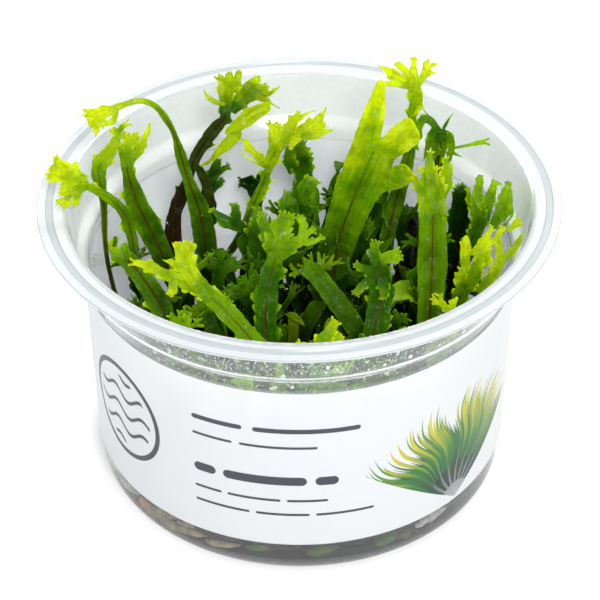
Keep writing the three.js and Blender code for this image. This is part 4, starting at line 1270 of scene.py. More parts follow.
@dataclass
class FrondGrower:
    """Grows one frond: blade rows along the spine, a webbed palm and forked, curling fingers."""

    frond: Frond
    name: str
    dice: random.Random
    row_length: float = 2.4
    thickness: float = 0.26
    levels: int = 2
    palm_share: float = 0.42
    crest_from: float = 0.64
    depth: float = 0.55
    grain: float = 3.2
    cage: LeafCage = field(init=False)

    def row(self, spot: Heading, width: float, fold: float, wave: float) -> list[Vector]:
        """Lists a row's left edge, midrib and right edge.

        Args:
            spot: the row's heading.
            width: its width in millimetres.
            fold: how deep the midrib lies, as a share of the width.
            wave: how far its edges lift, in millimetres.

        Returns:
            The three points.
        """
        half = spot.across * (width / 2)
        lift = spot.outward * wave
        midrib = spot.place - spot.outward * (fold * width)
        return [spot.place - half + lift, midrib, spot.place + half - lift]

    def grow(self, material: Material) -> Object:
        """Grows the frond.

        Args:
            material: its finish.

        Returns:
            The finished piece.
        """
        frond, dice = self.frond, self.dice
        spine = Spine.through(frond.path, frond.turn)
        count = max(5, round(spine.length() / self.row_length))
        self.cage = LeafCage(self.name)
        phase = dice.uniform(0, math.tau)
        pace = dice.uniform(0.9, 1.3)
        top = frond.ripe if frond.crest or frond.lobes else 1.0
        rows = []
        foot = []
        for step in range(count + 1):
            t = step / count
            width = width_at(frond.widths, t) * dice.uniform(1 - frond.ragged, 1 + frond.ragged)
            if not frond.crest and not frond.lobes and step == count:
                width = 0.35
            ripple = frond.ruffle * math.sin(phase + step * pace) * min(1.0, 3 * t)
            places = self.row(spine.heading(t), width, frond.fold, ripple)
            if step == 0:
                foot = places
            elif step == 1:
                rows.append(self.cage.start(foot, places))
            else:
                rows.append(self.cage.push(rows[-1], places, t ** 0.85 * top, (width / 2, 0, width / 2)))
        if frond.crest:
            self.grow_crest(rows[-1], spine.heading(1.0))
        for number in range(len(rows) // 2, len(rows) - 1):
            self.grow_teeth(rows[number], rows[number + 1], frond.teeth, 1.1)
        for lobe in frond.sides:
            self.grow_side(rows, lobe, spine.heading(lobe.share), top)
        last = rows[-1]
        for lobe in frond.lobes:
            carries_on = last and max(abs(step) for step in lobe.points[0]) < 1.3
            self.grow_lobe(lobe, spine, last if carries_on else [])
            if carries_on:
                last = []
        offset = dice.uniform(0, 900)
        return self.cage.close(material, self.levels, self.thickness, self.depth, self.grain, offset)

    def grow_crest(self, chain: Sequence[int], end: Heading) -> None:
        """Grows the palm and its fingers from the blade's last row.

        Args:
            chain: the points of the last row.
            end: the heading there.
        """
        crest = self.frond.crest
        for _ in range(round(crest.neck / self.row_length)):
            end = end.moved(self.row_length)
            places = self.row(end, self.frond.widths[-1], self.frond.fold, self.dice.uniform(-0.2, 0.2))
            half = self.frond.widths[-1] / 2
            chain = self.cage.push(chain, places, self.crest_from, (half, 0, half))
        fingers = crest.fingers(self.dice)
        count = len(fingers)
        angles = [finger.angle for finger in fingers]
        gap = (angles[-1] - angles[0]) / (count - 1)
        between = [(a + b) / 2 for a, b in zip(angles, angles[1:])]
        edges = [angles[0] - gap / 2, *between, angles[-1] + gap / 2]
        breadth = sum(finger.breadth for finger in fingers)
        longest = max(finger.reach for finger in fingers)
        end_width = self.frond.widths[-1]
        palm = (breadth - end_width) / math.radians(edges[-1] - edges[0])
        palm = max(0.16 * longest, min(self.palm_share * longest, palm))
        chain = self.cage.split(chain, count - 1)
        places = []
        for at in range(len(chain)):
            ridge = at % 2 == 0
            angle = edges[at // 2] if ridge else angles[at // 2]
            share = at / (len(chain) - 1)
            out = end.turned(yaw=angle).ahead * (palm if ridge else palm * 1.12)
            places.append(end.place + end.across * ((share - 0.5) * end_width * 0.9) + out
                          - end.outward * (0.3 if ridge else -0.1))
        mid = self.crest_from + (1 - self.crest_from) * 0.35
        chain = self.cage.push(chain, places, mid, [0.0 if at % 2 else 1.0 for at in range(len(chain))])
        for number, finger in enumerate(fingers):
            left, right = places[2 * number], places[2 * number + 2]
            start = Heading((left + right) / 2, end.ahead, end.across)
            start = start.turned(yaw=finger.angle).turned(pitch=finger.pitch, roll=self.dice.uniform(-40, 40))
            side = 2 * number / (count - 1) - 1
            self.grow_finger(chain[2 * number:2 * number + 3], start, finger, finger.reach - palm, side, mid)

    def grow_lobe(self, lobe: Lobe, blade: Spine, chain: list[int]) -> None:
        """Grows a listed lobe, on from the blade's last row or as a strip of its own.

        Args:
            lobe: the lobe.
            blade: the blade's spine.
            chain: the points of the blade's last row, or nothing for a strip of its own.
        """
        dice = self.dice
        rise = math.radians(CAMERA_ELEVATION)
        up = Vector((0, math.sin(rise), math.cos(rise)))
        out = Vector((0, -math.cos(rise), math.sin(rise)))
        end = blade.at(1.0)
        steps = [blade.at(share / 40) - end for share in range(41)]
        path = []
        for right, over, before in lobe.points:
            # A point beside the blade lies as deep as the blade does there.
            beside = min(steps, key=lambda step: math.hypot(step.x - right, step.dot(up) - over))
            path.append(end + Vector((right, 0, 0)) + up * over + out * (before + beside.dot(out)))
        spine = Spine(tuple(path), out)
        count = max(2, round(spine.length() / 1.5))
        phase = dice.uniform(0, math.tau)
        roll = dice.uniform(-25, 25)
        foot: list[Vector] = []
        for step in range(1 if chain else 0, count + 1):
            t = step / count
            width = width_at(lobe.widths, t) * dice.uniform(0.88, 1.12)
            spot = spine.heading(t).turned(roll=roll * t)
            ripple = 0.14 * width * math.sin(phase + step * 1.7)
            places = self.row(spot, width, 0.12, ripple)
            ribs = (width / 2, 0.5, width / 2)
            if step == 0:
                foot = places
            elif not chain:
                chain = self.cage.start(foot, places, lobe.start)
            else:
                before = chain
                along = lobe.start + (lobe.stop - lobe.start) * t
                chain = self.cage.push(chain, places, along, ribs)
                self.grow_teeth(before, chain, lobe.teeth, 0.35 + 0.22 * width)
        last = spine.heading(1.0)
        breadth = lobe.widths[-1]
        if lobe.end is LobeEnd.POINT:
            self.cage.push(chain, self.row(last.moved(0.9), 0.15, 0, 0), lobe.stop, (1, 1, 1))
        elif lobe.end is LobeEnd.ROUND:
            tip = last.moved(0.35 * breadth)
            self.cage.push(chain, self.row(tip, breadth * 0.6, 0, 0), lobe.stop, (1, 1, 1))
        elif lobe.end is LobeEnd.FORK:
            for part, yaw in ((chain[:2], -1.0), (chain[1:], 1.0)):
                away = last.beside(yaw * breadth * 0.25).turned(yaw=yaw * dice.uniform(20, 40))
                self.grow_tooth(part, away, max(1.3, breadth * 0.8), breadth * 0.5, False)
        else:
            points = self.cage.split(chain, 1)
            for number, yaw in enumerate((-38, -12, 14, 40)):
                away = last.beside((number - 1.5) * breadth * 0.25)
                away = away.turned(yaw=yaw + dice.uniform(-8, 8), pitch=dice.uniform(-30, 30))
                reach = dice.uniform(0.5, 0.9) * (0.7 + 0.35 * breadth)
                part = points[number:number + 2]
                self.grow_tooth(part, away, reach, max(0.35, breadth * 0.26), breadth > 2.4)

    def grow_side(self, rows: list[list[int]], lobe: Finger, spot: Heading, top: float) -> None:
        """Grows a side lobe from the blade's margin.

        Args:
            rows: the blade's rows of points.
            lobe: the lobe.
            spot: the heading where it leaves the blade.
            top: the measure along the frond at the blade's end.
        """
        at = max(1, min(len(rows) - 2, round(lobe.share * (len(rows) - 1))))
        near = [rows[at + step] for step in (-1, 0, 1)]
        right = lobe.angle > 0
        chain = [row[2 if right else 0] for row in near]
        if right:
            chain.reverse()
        half = width_at(self.frond.widths, lobe.share) / 2
        start = spot.beside(half if right else -half).turned(yaw=lobe.angle).turned(pitch=lobe.pitch)
        self.grow_finger(chain, start, lobe, lobe.reach, 0.0, lobe.share * top)

    def grow_finger(
        self, chain: Sequence[int], spot: Heading, finger: Finger, reach: float, side: float, base: float
    ) -> None:
        """Grows one finger and forks its end.

        Args:
            chain: the finger's three points on the palm or margin.
            spot: the heading there.
            finger: its breadth and form.
            reach: how far it goes from there, in millimetres.
            side: its place in the crest, from -1 on the left to 1 on the right.
            base: the measure along the frond where it starts.
        """
        dice, breadth, form = self.dice, finger.breadth, finger.form
        lobes = form in (CrestForm.LOBES, CrestForm.BLUNT)
        stem_share = {CrestForm.PARSLEY: 0.5, CrestForm.LOBES: 0.86, CrestForm.BLUNT: 0.9}[form]
        rows = max(1 if reach < 4 and not lobes else 2, round(reach * stem_share / 2.2))
        curl = (self.frond.crest.curl if self.frond.crest else 10.0) * dice.uniform(-1.0, 0.5) / rows
        drift = side * dice.uniform(0, 14) / rows
        for row in range(1, rows + 1):
            share = row / rows
            spot = spot.turned(yaw=drift, pitch=curl).moved(reach * stem_share / rows)
            narrow = {CrestForm.LOBES: -0.5, CrestForm.BLUNT: -0.15}.get(form, 0.1)
            width = breadth * (1 + narrow * share ** 2) * dice.uniform(0.9, 1.1)
            along = base + (1 - base) * 0.6 * share
            before = chain
            chain = self.cage.push(chain, self.row(spot, width, 0.08, dice.uniform(-0.2, 0.2)), along,
                              (width / 2, 0, width / 2))
            if not lobes:
                self.grow_teeth(before, chain, 0.55, breadth * 0.5)
        rest = reach * (1 - stem_share)
        if lobes:
            tip = spot.turned(yaw=drift, pitch=curl).moved(rest)
            tip_width = breadth * (0.15 if form is CrestForm.LOBES else 0.6)
            self.cage.push(chain, self.row(tip, tip_width, 0, 0), 1.0, (0.4, 0.3, 0.4))
            return
        for part, yaw in ((chain[:2], -1.0), (chain[1:], 1.0)):
            away = spot.beside(yaw * breadth * 0.27)
            away = away.turned(yaw=yaw * dice.uniform(16, 34), pitch=dice.uniform(-22, 16))
            self.grow_tooth(part, away, max(1.2, rest * dice.uniform(0.8, 1.2)), breadth * 0.55, reach > 3)

    def grow_teeth(self, low: Sequence[int], high: Sequence[int], chance: float, reach: float) -> None:
        """Grows small marginal teeth between two rows.

        Args:
            low: the lower row's points.
            high: the upper row's points.
            chance: how likely each side has a tooth.
            reach: how far a tooth goes, in millimetres.
        """
        for side in (0, -1):
            if self.dice.random() > chance:
                continue
            points = self.cage.edited().verts
            a, b, rib = (points[at].co / MM for at in (low[side], high[side], high[1]))
            if (b - a).length < 0.3 or (b - rib).length < 0.1:
                continue
            out = ((b - rib).normalized() + (b - a).normalized() * self.dice.uniform(0.5, 1.2)).normalized()
            out = out * reach * self.dice.uniform(0.7, 1.3)
            middle, spread = (a + b) / 2, (b - a) * 0.22
            places = (middle - spread + out, middle + spread + out)
            self.cage.push((low[side], high[side]), places, 0.97, (2, 2))

    def grow_tooth(
        self, chain: Sequence[int], spot: Heading, reach: float, breadth: float, again: bool
    ) -> None:
        """Grows one prong of a forked finger.

        Args:
            chain: the prong's two points on the finger.
            spot: the heading there.
            reach: how far the prong goes, in millimetres.
            breadth: how broad it is.
            again: whether it may fork once more.
        """
        dice = self.dice
        before = chain
        spot = spot.turned(pitch=dice.uniform(-15, 8)).moved(reach * 0.5)
        half = spot.across * (breadth * 0.58)
        chain = self.cage.push(chain, (spot.place - half, spot.place + half), 0.95, (1.4, 1.4))
        if dice.random() < 0.4:
            self.grow_teeth((*before, before[1]), (*chain, chain[1]), 0.6, reach * 0.4)
        if again and dice.random() < 0.6:
            chain = self.cage.split(chain, 1)
            for part, yaw in ((chain[:2], -1.0), (chain[1:], 1.0)):
                away = spot.turned(yaw=yaw * dice.uniform(14, 28)).moved(reach * dice.uniform(0.4, 0.65))
                centre = away.place + spot.across * (yaw * breadth * 0.3)
                small = away.across * (breadth * 0.24)
                self.cage.push(part, (centre - small, centre + small), 1.0, (2, 2))
            return
        spot = spot.turned(yaw=dice.uniform(-12, 12), pitch=dice.uniform(-20, 5)).moved(reach * 0.5)
        half = spot.across * (breadth * 0.42)
        self.cage.push(chain, (spot.place - half, spot.place + half), 1.0, (2, 2))


@dataclass
class ClearCup:
    """The cup: a clear wall with a shoulder under a flat, milky flange."""

    height: float = 61.0
    rim_radius: float = 50.0
    opening_radius: float = 45.0
    flange: float = 1.2
    shoulder_radius: float = 43.6
    shoulder_height: float = 51.4
    wall_top: float = 41.6
    wall_top_height: float = 49.0
    wall_foot: float = 40.6
    corner: float = 3.8
    wall: float = 0.8
    foot_ring: float = 33.0
    # Heights at which the wall's finish changes, over the gel and over the label.
    gel_line: float = 9.0
    label_line: float = 46.8
    steps: int = 144
    finishes: tuple[ClearPlastic, ...] = (
        ClearPlastic("milky_polypropylene", 0.2, 0.06, speckle=0.03, glow=0.02),
        ClearPlastic("frosted_flange", 0.62, 0.3, "#ebeff1", 0.08),
        ClearPlastic("frosted_shoulder", 0.5, 0.3, "#f4f6f6"),
        ClearPlastic("fogged_neck", 0.05, 0.09, "#f0f4f3", 0.3, back_haze=0.38),
        ClearPlastic("clear_foot", 0.01, 0.03),
        # The groove's darker tone is painted shade in its recess.
        ClearPlastic("frosted_groove", 0.74, 0.3, "#cad1d3", 0.08),
    )

    def outline(self) -> list[tuple[float, float]]:
        """Lists the cup's section from the middle of its underside round to the middle of its floor.

        Returns:
            Radius and height pairs in millimetres.
        """
        under = self.height - self.flange
        edge = self.flange / 4
        corner_centre = (self.wall_foot - self.corner, self.corner)
        groove = (self.opening_radius + 1.9, self.opening_radius + 3.4)
        outside = [(0, 0.25), (self.foot_ring, 0.25), (self.foot_ring + 1, 0)]
        outside += arc(corner_centre, self.corner, -90, 0, 6)
        lines = [(self.inner_radius(height), height) for height in (self.gel_line, self.label_line)]
        outside += [(radius + self.wall, height) for radius, height in lines]
        outside += [(self.wall_top - 0.01, self.wall_top_height - 0.5), (self.wall_top, self.wall_top_height),
                    (self.wall_top + 0.35, self.wall_top_height + 0.75),
                    (self.shoulder_radius - 0.4, self.shoulder_height - 0.6),
                    (self.shoulder_radius, self.shoulder_height),
                    (self.shoulder_radius + 0.05, self.shoulder_height + 0.4),
                    (self.shoulder_radius + 0.1, self.shoulder_height + 0.8),
                    (self.opening_radius - 0.4, under - 1.7), (self.opening_radius - 0.35, under - 1.2),
                    (self.opening_radius + 0.3, under)]
        outside += arc((self.rim_radius - edge, self.height - edge), edge, -80, 90, 6)
        outside += [(groove[1], self.height), (groove[1] - 0.25, self.height - 0.3),
                    (groove[0] + 0.25, self.height - 0.3), (groove[0], self.height)]
        inside = arc((self.opening_radius + 0.2, self.height - 0.7), 0.7, 90, 180, 4)
        inside += [(self.opening_radius - 0.55, self.height - 1.6),
                   (self.shoulder_radius - self.wall + 0.06, self.shoulder_height + 0.5),
                   (self.shoulder_radius - self.wall, self.shoulder_height),
                   (self.shoulder_radius - self.wall - 0.4, self.shoulder_height - 0.6),
                   (self.wall_top - self.wall + 0.3, self.wall_top_height + 0.6),
                   (self.wall_top - self.wall, self.wall_top_height),
                   (self.wall_top - self.wall - 0.01, self.wall_top_height - 0.5), lines[1], lines[0]]
        inside += arc(corner_centre, self.corner - self.wall, 0, -90, 6)
        return outside + inside + [(0, self.wall)]

    def build(self) -> None:
        """Spins the cup and dresses its zones."""
        piece = turned_piece("cup_shell", self.outline(), self.steps)
        for finish in self.finishes:
            piece.data.materials.append(finish.make())
        for face in piece.data.polygons:
            face.material_index = self.zone(face).value
        smooth(piece, 35)
        ride(piece, "clear_plastic", "cup")

    def zone(self, face: bpy.types.MeshPolygon) -> CupZone:
        """Tells which zone a face of the cup belongs to.

        Args:
            face: the face.

        Returns:
            Its zone.
        """
        height, radius = face.center.z / MM, face.center.xy.length / MM
        if height > self.height - self.flange - 0.1 and radius > self.opening_radius:
            groove = self.height - 0.4 < height < self.height - 0.05 and face.normal.z > 0
            return CupZone.GROOVE if groove else CupZone.FLANGE
        outer = radius > self.inner_radius(height) + self.wall / 2
        if self.wall_top_height < height < self.wall_top_height + 1 and outer:
            return CupZone.SHOULDER
        if height > self.label_line:
            return CupZone.NECK
        return CupZone.FOOT if height < self.gel_line else CupZone.WALL

    def inner_radius(self, height: float) -> float:
        """Measures the wall's inside.

        Args:
            height: a height in millimetres.

        Returns:
            The radius there in millimetres.
        """
        stations = ((self.corner, self.wall_foot), (self.wall_top_height, self.wall_top),
                    (self.shoulder_height, self.shoulder_radius), (self.height, self.opening_radius))
        for (low, near), (high, far) in zip(stations, stations[1:]):
            if height <= high:
                return near + (far - near) * max(0.0, (height - low) / (high - low)) - self.wall
        return self.opening_radius - self.wall


def keep_inside(piece: Object, cup: ClearCup, room: float = 0.4) -> None:
    """Presses the part of a piece that would pass the cup's wall back against its inside.

    Args:
        piece: the piece.
        cup: the cup.
        room: the gap to the wall in millimetres.
    """
    for point in piece.data.vertices:
        height = point.co.z / MM
        limit = (cup.inner_radius(height) - room) * MM
        reach = point.co.xy.length
        if height < cup.height + 0.5 and reach > limit:
            point.co.x *= limit / reach
            point.co.y *= limit / reach


@dataclass
class Ferns:
    """The plantlets: every frond as its own piece."""

    cup: ClearCup
    seed: int = 7

    def finishes(self) -> dict[Tint, Material]:
        """Makes the frond finishes.

        Returns:
            One for each tint.
        """
        tissues = {
            LIME: FrondTissue("young_frond_tissue", "#356b07", "#86b806", "#dcea14"),
            MID: FrondTissue("ripe_frond_tissue", "#1f4a04", "#4e8c05", "#aad20c"),
            DEEP: FrondTissue("shaded_frond_tissue", "#142f03", "#2f6205", "#74ac0a", "#4a3a14", 0.3),
            STALK: FrondTissue("old_frond_tissue", "#47361a", "#4a860a", "#c8dc10", "#3a2410", 0.7),
        }
        return {tint: tissue.make() for tint, tissue in tissues.items()}

    def build(self) -> dict[Tint, Material]:
        """Grows all the fronds.

        Returns:
            Their finishes, which the young leaves share.
        """
        finishes = self.finishes()
        for number, frond in enumerate(FRONDS, start=1):
            dice = random.Random(self.seed * 1000 + number)
            grower = FrondGrower(frond, f"frond_{number:02d}_leaf", dice)
            piece = grower.grow(finishes[frond.dress or frond.tint])
            keep_inside(piece, self.cup)
            ride(piece, frond.tint.value, f"frond_{number:02d}")
        return finishes


@dataclass
class Thicket:
    """The many young leaves that stand between the fronds, as one joined piece for each finish."""

    cup: ClearCup
    finishes: dict[Tint, Material]
    # Each group's finish, number of leaves, and lowest, highest and most common height in millimetres.
    groups: tuple[tuple[Tint, int, float, float, float], ...] = (
        (Tint.DEEP, 210, 14, 40, 28), (Tint.MID, 90, 20, 38, 31), (Tint.LIME, 9, 20, 32, 27),
    )
    # Taller shaded leaves in the middle: how far right and back each stands, and its height, in millimetres.
    middle: tuple[tuple[float, float, float], ...] = (
        (-8, 10, 34), (-4, 12, 36), (2, 10, 35), (6, 12, 34), (-1, 6, 37), (-13, 8, 31), (-11, 12, 32),
        (10, 4, 31), (-5, 3, 37), (3, 2, 34), (-16, 5, 31), (-2, 14, 37), (0, 9, 33), (-9, 5, 33),
        (7, 7, 33), (-6, 14, 33), (4.6, 17, 42), (6.4, 18.6, 43), (2.8, 16, 41), (8, 17, 38),
        (1, 15.6, 39), (5.4, 15, 38), (-2, 16, 36),
    )
    # Leaves taller than this, in millimetres, grow from the stems that lie less open.
    tall: float = 26.0
    # The share of leaves that stand against the front of the wall, with their distance from the middle and
    # their height in millimetres.
    wall_share: float = 0.26
    wall_reach: tuple[float, float] = (33, 38)
    wall_height: tuple[float, float] = (28, 40)
    # How far a leaf leans, in degrees, in the open and against the wall.
    lean: tuple[float, float] = (24.0, 8.0)
    # The tallest that leaves are at the right end and the back right, and elsewhere at the back.
    back_right_height: float = 20
    back_height: float = 30
    seed: int = 41

    def patterns(self, tint: Tint) -> list[Object]:
        """Grows the few leaves that are copied.

        Args:
            tint: their finish.

        Returns:
            Leaves that stand at the origin and are 25 to 30 mm high.
        """
        shapes = (
            Frond(((0, 0, 0), (1, 1, 10), (-1.5, 1.8, 20), (-3.5, -0.5, 30)), (1, 2.8, 3.2, 2.8, 1), tint,
                  ragged=0.14, teeth=0.2),
            Frond(((0, 0, 0), (2.4, -1.8, 9), (6.5, -4, 18), (12, -5, 25)), (1, 3, 3.4, 2.8, 0.8), tint,
                  ragged=0.14, teeth=0.2),
            Frond(((0, 0, 0), (-1, -0.8, 12), (-0.8, -3.6, 22), (-1.2, -8.5, 26), (-1.6, -13, 24)),
                  (1, 3, 3.8, 3, 1.4), tint, ragged=0.14, teeth=0.15),
            Frond(((0, 0, 0), (-2, 1, 12), (-3, -1, 21), (0.5, -4, 28.5)), (1, 2, 2.4, 2), tint,
                  Crest(3, -32, 30, 5.2, 1.2, curl=30), ragged=0.16, teeth=0.2),
            Frond(((0, 0, 0), (2, -1, 10), (3, -4.5, 21), (0.6, -8, 28.5)), (1, 2.4, 3, 2.2), tint,
                  Crest(5, -60, 55, 4.4, 1, curl=30), ragged=0.2, teeth=0.3),
        )
        leaves = []
        for number, shape in enumerate(shapes):
            dice = random.Random(self.seed + number)
            grower = FrondGrower(shape, f"pattern_{number}", dice, row_length=4.2, thickness=0.22, levels=1,
                                 depth=0.7, grain=5.0)
            leaves.append(grower.grow(self.finishes[tint]))
        return leaves

    def place(self, dice: random.Random, height: float) -> Matrix:
        """Picks where a leaf stands and which way it leans.

        Args:
            dice: the source of chance.
            height: the leaf's height in millimetres.

        Returns:
            The leaf's placing.
        """
        # The tall ones keep clear of the first two stems, at the left and the back, which lie more open.
        stem = Spine.through(dice.choice(STEMS[2:7] if height > self.tall else STEMS[:7]))
        root = stem.at(dice.random()) + Vector((dice.gauss(0, 2.5), dice.gauss(0, 2.5), 0))
        tilt = self.lean[0]
        if dice.random() < self.wall_share:
            # Some stand against the front of the wall, where they show through it.
            angle = math.sin(dice.gauss(0, 0.75))
            reach = dice.uniform(*self.wall_reach)
            root = Vector((math.sin(angle) * reach, -math.cos(angle) * reach, 0))
            height = dice.uniform(*self.wall_height) * (1 if abs(angle) < 0.6 else 0.72)
            tilt = self.lean[1]
        # Those at the back right and at the right end stay low, so that the label's back shows above them.
        if root.x > 24 or (root.x > 8 and root.y > 8):
            height = min(height, self.back_right_height)
        elif root.y > 8:
            height = min(height, self.back_height)
        lean = Matrix.Rotation(math.radians(dice.uniform(-tilt, tilt)), 4, "X")
        lean = Matrix.Rotation(math.radians(dice.uniform(-tilt, tilt)), 4, "Y") @ lean
        turn = Matrix.Rotation(dice.uniform(-1.2, 1.2), 4, "Z")
        broad = height / 30 * dice.uniform(0.8, 1.1)
        size = Matrix.Diagonal((broad, broad, height / 30, 1))
        return Matrix.Translation(Vector((root.x, root.y, CROWN_HEIGHT - 2)) * MM) @ lean @ turn @ size

    def build(self) -> None:
        """Copies the patterns, each copy with its own mesh, and joins them."""
        dice = random.Random(self.seed)
        for tint, count, low, high, common in self.groups:
            patterns = self.patterns(tint)
            places = [[] for _ in patterns]
            for _ in range(count):
                dice.choice(places).append(self.place(dice, dice.triangular(low, high, common)))
            if tint is Tint.DEEP:
                for at, (right, back, high) in enumerate(self.middle):
                    turn = Matrix.Rotation(at * 2.4, 4, "Z")
                    size = Matrix.Diagonal((high / 36, high / 36, high / 30, 1))
                    spot = Vector((right, back, CROWN_HEIGHT - 2)) * MM
                    places[at % len(places)].append(Matrix.Translation(spot) @ turn @ size)
            piece = joined_copies(f"young_leaves_{tint.name.lower()}", list(zip(patterns, places)))
            piece.data.materials.append(self.finishes[tint])
            smooth(piece, 50)
            keep_inside(piece, self.cup, 0.8)
            ride(piece, tint.value)


@dataclass
class Stems:
    """The creeping stems with their dark scales, their wiry roots and the bits of old growth."""

    cup: ClearCup
    radius: float = 1.5
    scales: int = 70
    root_count: int = 330
    # How far a root goes from one point to the next, and the lowest and highest that it creeps.
    root_step: float = 2.6
    root_heights: tuple[float, float] = (2.4, 15.0)
    seed: int = 23
    # Each group's name and finish, and for each bit its angle from the front in degrees, height, length and
    # thickness in millimetres.
    # The finishes glow: painted light that lets the bits show bright through the dark gel.
    old_growth: tuple[tuple[str, PlainSurface, tuple[tuple[float, float, float, float], ...]], ...] = (
        ("pale_root_bits", PlainSurface("pale_old_root", "#8a7448", "#e2cfa4", 1.5, 0.5, 0.1, 0.22),
         ((-46, 4.2, 7, 1.3), (-38, 3.8, 9, 1.1), (-42, 6, 7, 0.9), (-33, 4.4, 7, 0.9), (-34, 6.2, 5, 0.6),
          (-23, 4.2, 7, 0.8))),
        ("bleached_leaf_bits", PlainSurface("bleached_leaf", "#9a9c98", "#e4e5e2", 1.5, 0.5, 0.1, 0.4),
         ((42, 5.8, 8, 1.5), (37, 5.4, 4, 0.9), (-60, 4.8, 8, 1.3), (-69, 5.4, 9, 1.5), (-80, 5.6, 9, 1.5))),
        ("orange_root_bits", PlainSurface("orange_old_root", "#d0761c", "#f6a63a", 1.5, 0.5, 0.1, 0.4),
         ((-51.5, 4.4, 3.4, 1.4),)),
        ("drowned_leaf_bits", PlainSurface("drowned_leaf", "#34601a", "#5f9026", 1.5, 0.5, 0.1, 0.2),
         ((25, 4.6, 5, 1.6), (6, 5, 6, 1), (31, 4.4, 3, 0.9), (-12, 5.4, 5, 0.8))),
    )

    def build(self) -> None:
        """Builds the stems, their scales and the roots."""
        bark = PlainSurface("dark_stem_skin", "#1c140c", "#4a3a22", 0.6, 0.6, 0.15).make()
        root_skin = PlainSurface("wiry_root_skin", "#1d160c", "#7a6136", 5.0, 0.45, 0.05).make()
        dice = random.Random(self.seed)
        for number, path in enumerate(STEMS, start=1):
            ride(self.stem(number, path, bark, dice), "rhizome", f"rhizome_{number}")
        self.roots(root_skin, dice)
        for name, skin, spots in self.old_growth:
            self.old_bits(name, skin.make(), spots)

    def stem(
        self, number: int, path: Sequence[Sequence[float]], bark: Material, dice: random.Random
    ) -> Object:
        """Makes one stem with its scales.

        Args:
            number: the stem's number.
            path: the points that it passes.
            bark: its finish.
            dice: the source of chance.

        Returns:
            The stem.
        """
        spine = Spine.through(path)
        steps = 26
        lines = [[spine.at(step / steps) for step in range(steps + 1)]]
        thickness = [[0.8 + 0.25 * dice.random() for _ in range(steps + 1)]]
        for _ in range(self.scales):
            spot = spine.heading(dice.uniform(0.02, 0.98))
            round_stem = math.radians(dice.uniform(0, 360))
            out = spot.across * math.cos(round_stem) + spot.outward * math.sin(round_stem)
            foot = spot.place + out * self.radius * 0.7
            tip = foot + (spot.ahead * dice.uniform(0.6, 1) + out * 0.6) * dice.uniform(1.4, 2.4)
            lines.append([foot, (foot + tip) / 2 + out * 0.2, tip])
            thickness.append([0.3, 0.22, 0.04])
        piece = tubes(f"stem_{number}", lines, thickness, self.radius, 3)
        piece.data.materials.append(bark)
        smooth(piece, 60)
        return piece

    def old_bits(self, name: str, skin: Material, spots: Sequence[tuple[float, float, float, float]]) -> None:
        """Makes short, thick bits of old growth that lie against the wall's foot.

        Args:
            name: the piece's name.
            skin: their finish.
            spots: each bit's angle, height, length and thickness, as in old_growth.
        """
        lines = []
        thickness = []
        for angle, height, length, width in spots:
            line = []
            for step in (-0.5, -0.2, 0.2, 0.5):
                turn = math.radians(angle + step * length * 1.5)
                # The bits bend away from the wall, and from the round corner at its foot.
                reach = self.cup.inner_radius(height) - width - 0.3 - abs(step)
                reach -= max(0.0, self.cup.corner - height) * 0.6
                rise = height + step * length * 0.2
                line.append(Vector((math.sin(turn) * reach, -math.cos(turn) * reach, rise)))
            lines.append(line)
            thickness.append([width * 0.5, width, width * 0.9, width * 0.3])
        piece = tubes(name, lines, thickness, 1.0, 2)
        piece.data.materials.append(skin)
        smooth(piece, 80)
        ride(piece, "rhizome")

    def roots(self, skin: Material, dice: random.Random) -> None:
        """Makes the roots that creep over the gel and down its side.

        Args:
            skin: their finish.
            dice: the source of chance.
        """
        lines = []
        thickness = []
        for _ in range(self.root_count):
            spine = Spine.through(dice.choice(STEMS[:7]))
            place = spine.at(dice.random()) + Vector((0, 0, -0.5))
            way = dice.uniform(0, math.tau)
            line = [place]
            for _ in range(dice.randint(9, 15)):
                way += dice.gauss(0, 0.45)
                ahead = Vector((math.cos(way) * self.root_step, math.sin(way) * self.root_step, 0))
                ahead.z = dice.uniform(-1.3, 0.8)
                place = place + ahead
                reach = self.cup.inner_radius(max(4.0, place.z)) - 0.9
                if place.xy.length > reach:
                    place.xy *= reach / place.xy.length
                    way += 0.7
                # Near the wall the gel's round corner keeps them higher.
                lowest = self.root_heights[0] + (0 if place.xy.length < 36 else 1)
                place.z = max(lowest, min(self.root_heights[1], place.z))
                line.append(place)
            lines.append(line)
            thickness.append([dice.uniform(0.6, 1.1)] * (len(line) - 1) + [0.3])
        piece = tubes("root_tangle", lines, thickness, 0.3, 1)
        piece.data.materials.append(skin)
        smooth(piece, 80)
        ride(piece, "rhizome")


def tubes(
    name: str, lines: Sequence[Sequence[Vector]], thickness: Sequence[Sequence[float]], radius: float,
    round_off: int
) -> Object:
    """Makes round tubes along lines of points in millimetres, as one piece.

    Args:
        name: the piece's name.
        lines: the points of each tube.
        thickness: a share of the radius for each point.
        radius: the radius in millimetres.
        round_off: how finely the tube is rounded.

    Returns:
        The piece.
    """
    curve = bpy.data.curves.new(name, "CURVE")
    curve.dimensions = "3D"
    curve.bevel_depth = radius * MM
    curve.bevel_resolution = round_off
    curve.use_fill_caps = True
    for line, shares in zip(lines, thickness):
        spline = curve.splines.new("POLY")
        spline.points.add(len(line) - 1)
        for point, place, share in zip(spline.points, line, shares):
            point.co = (*(place * MM), 1)
            point.radius = share
    piece = bpy.data.objects.new(name, curve)
    bpy.context.collection.objects.link(piece)
    pick(piece)
    bpy.ops.object.convert(target="MESH")
    return bpy.context.object


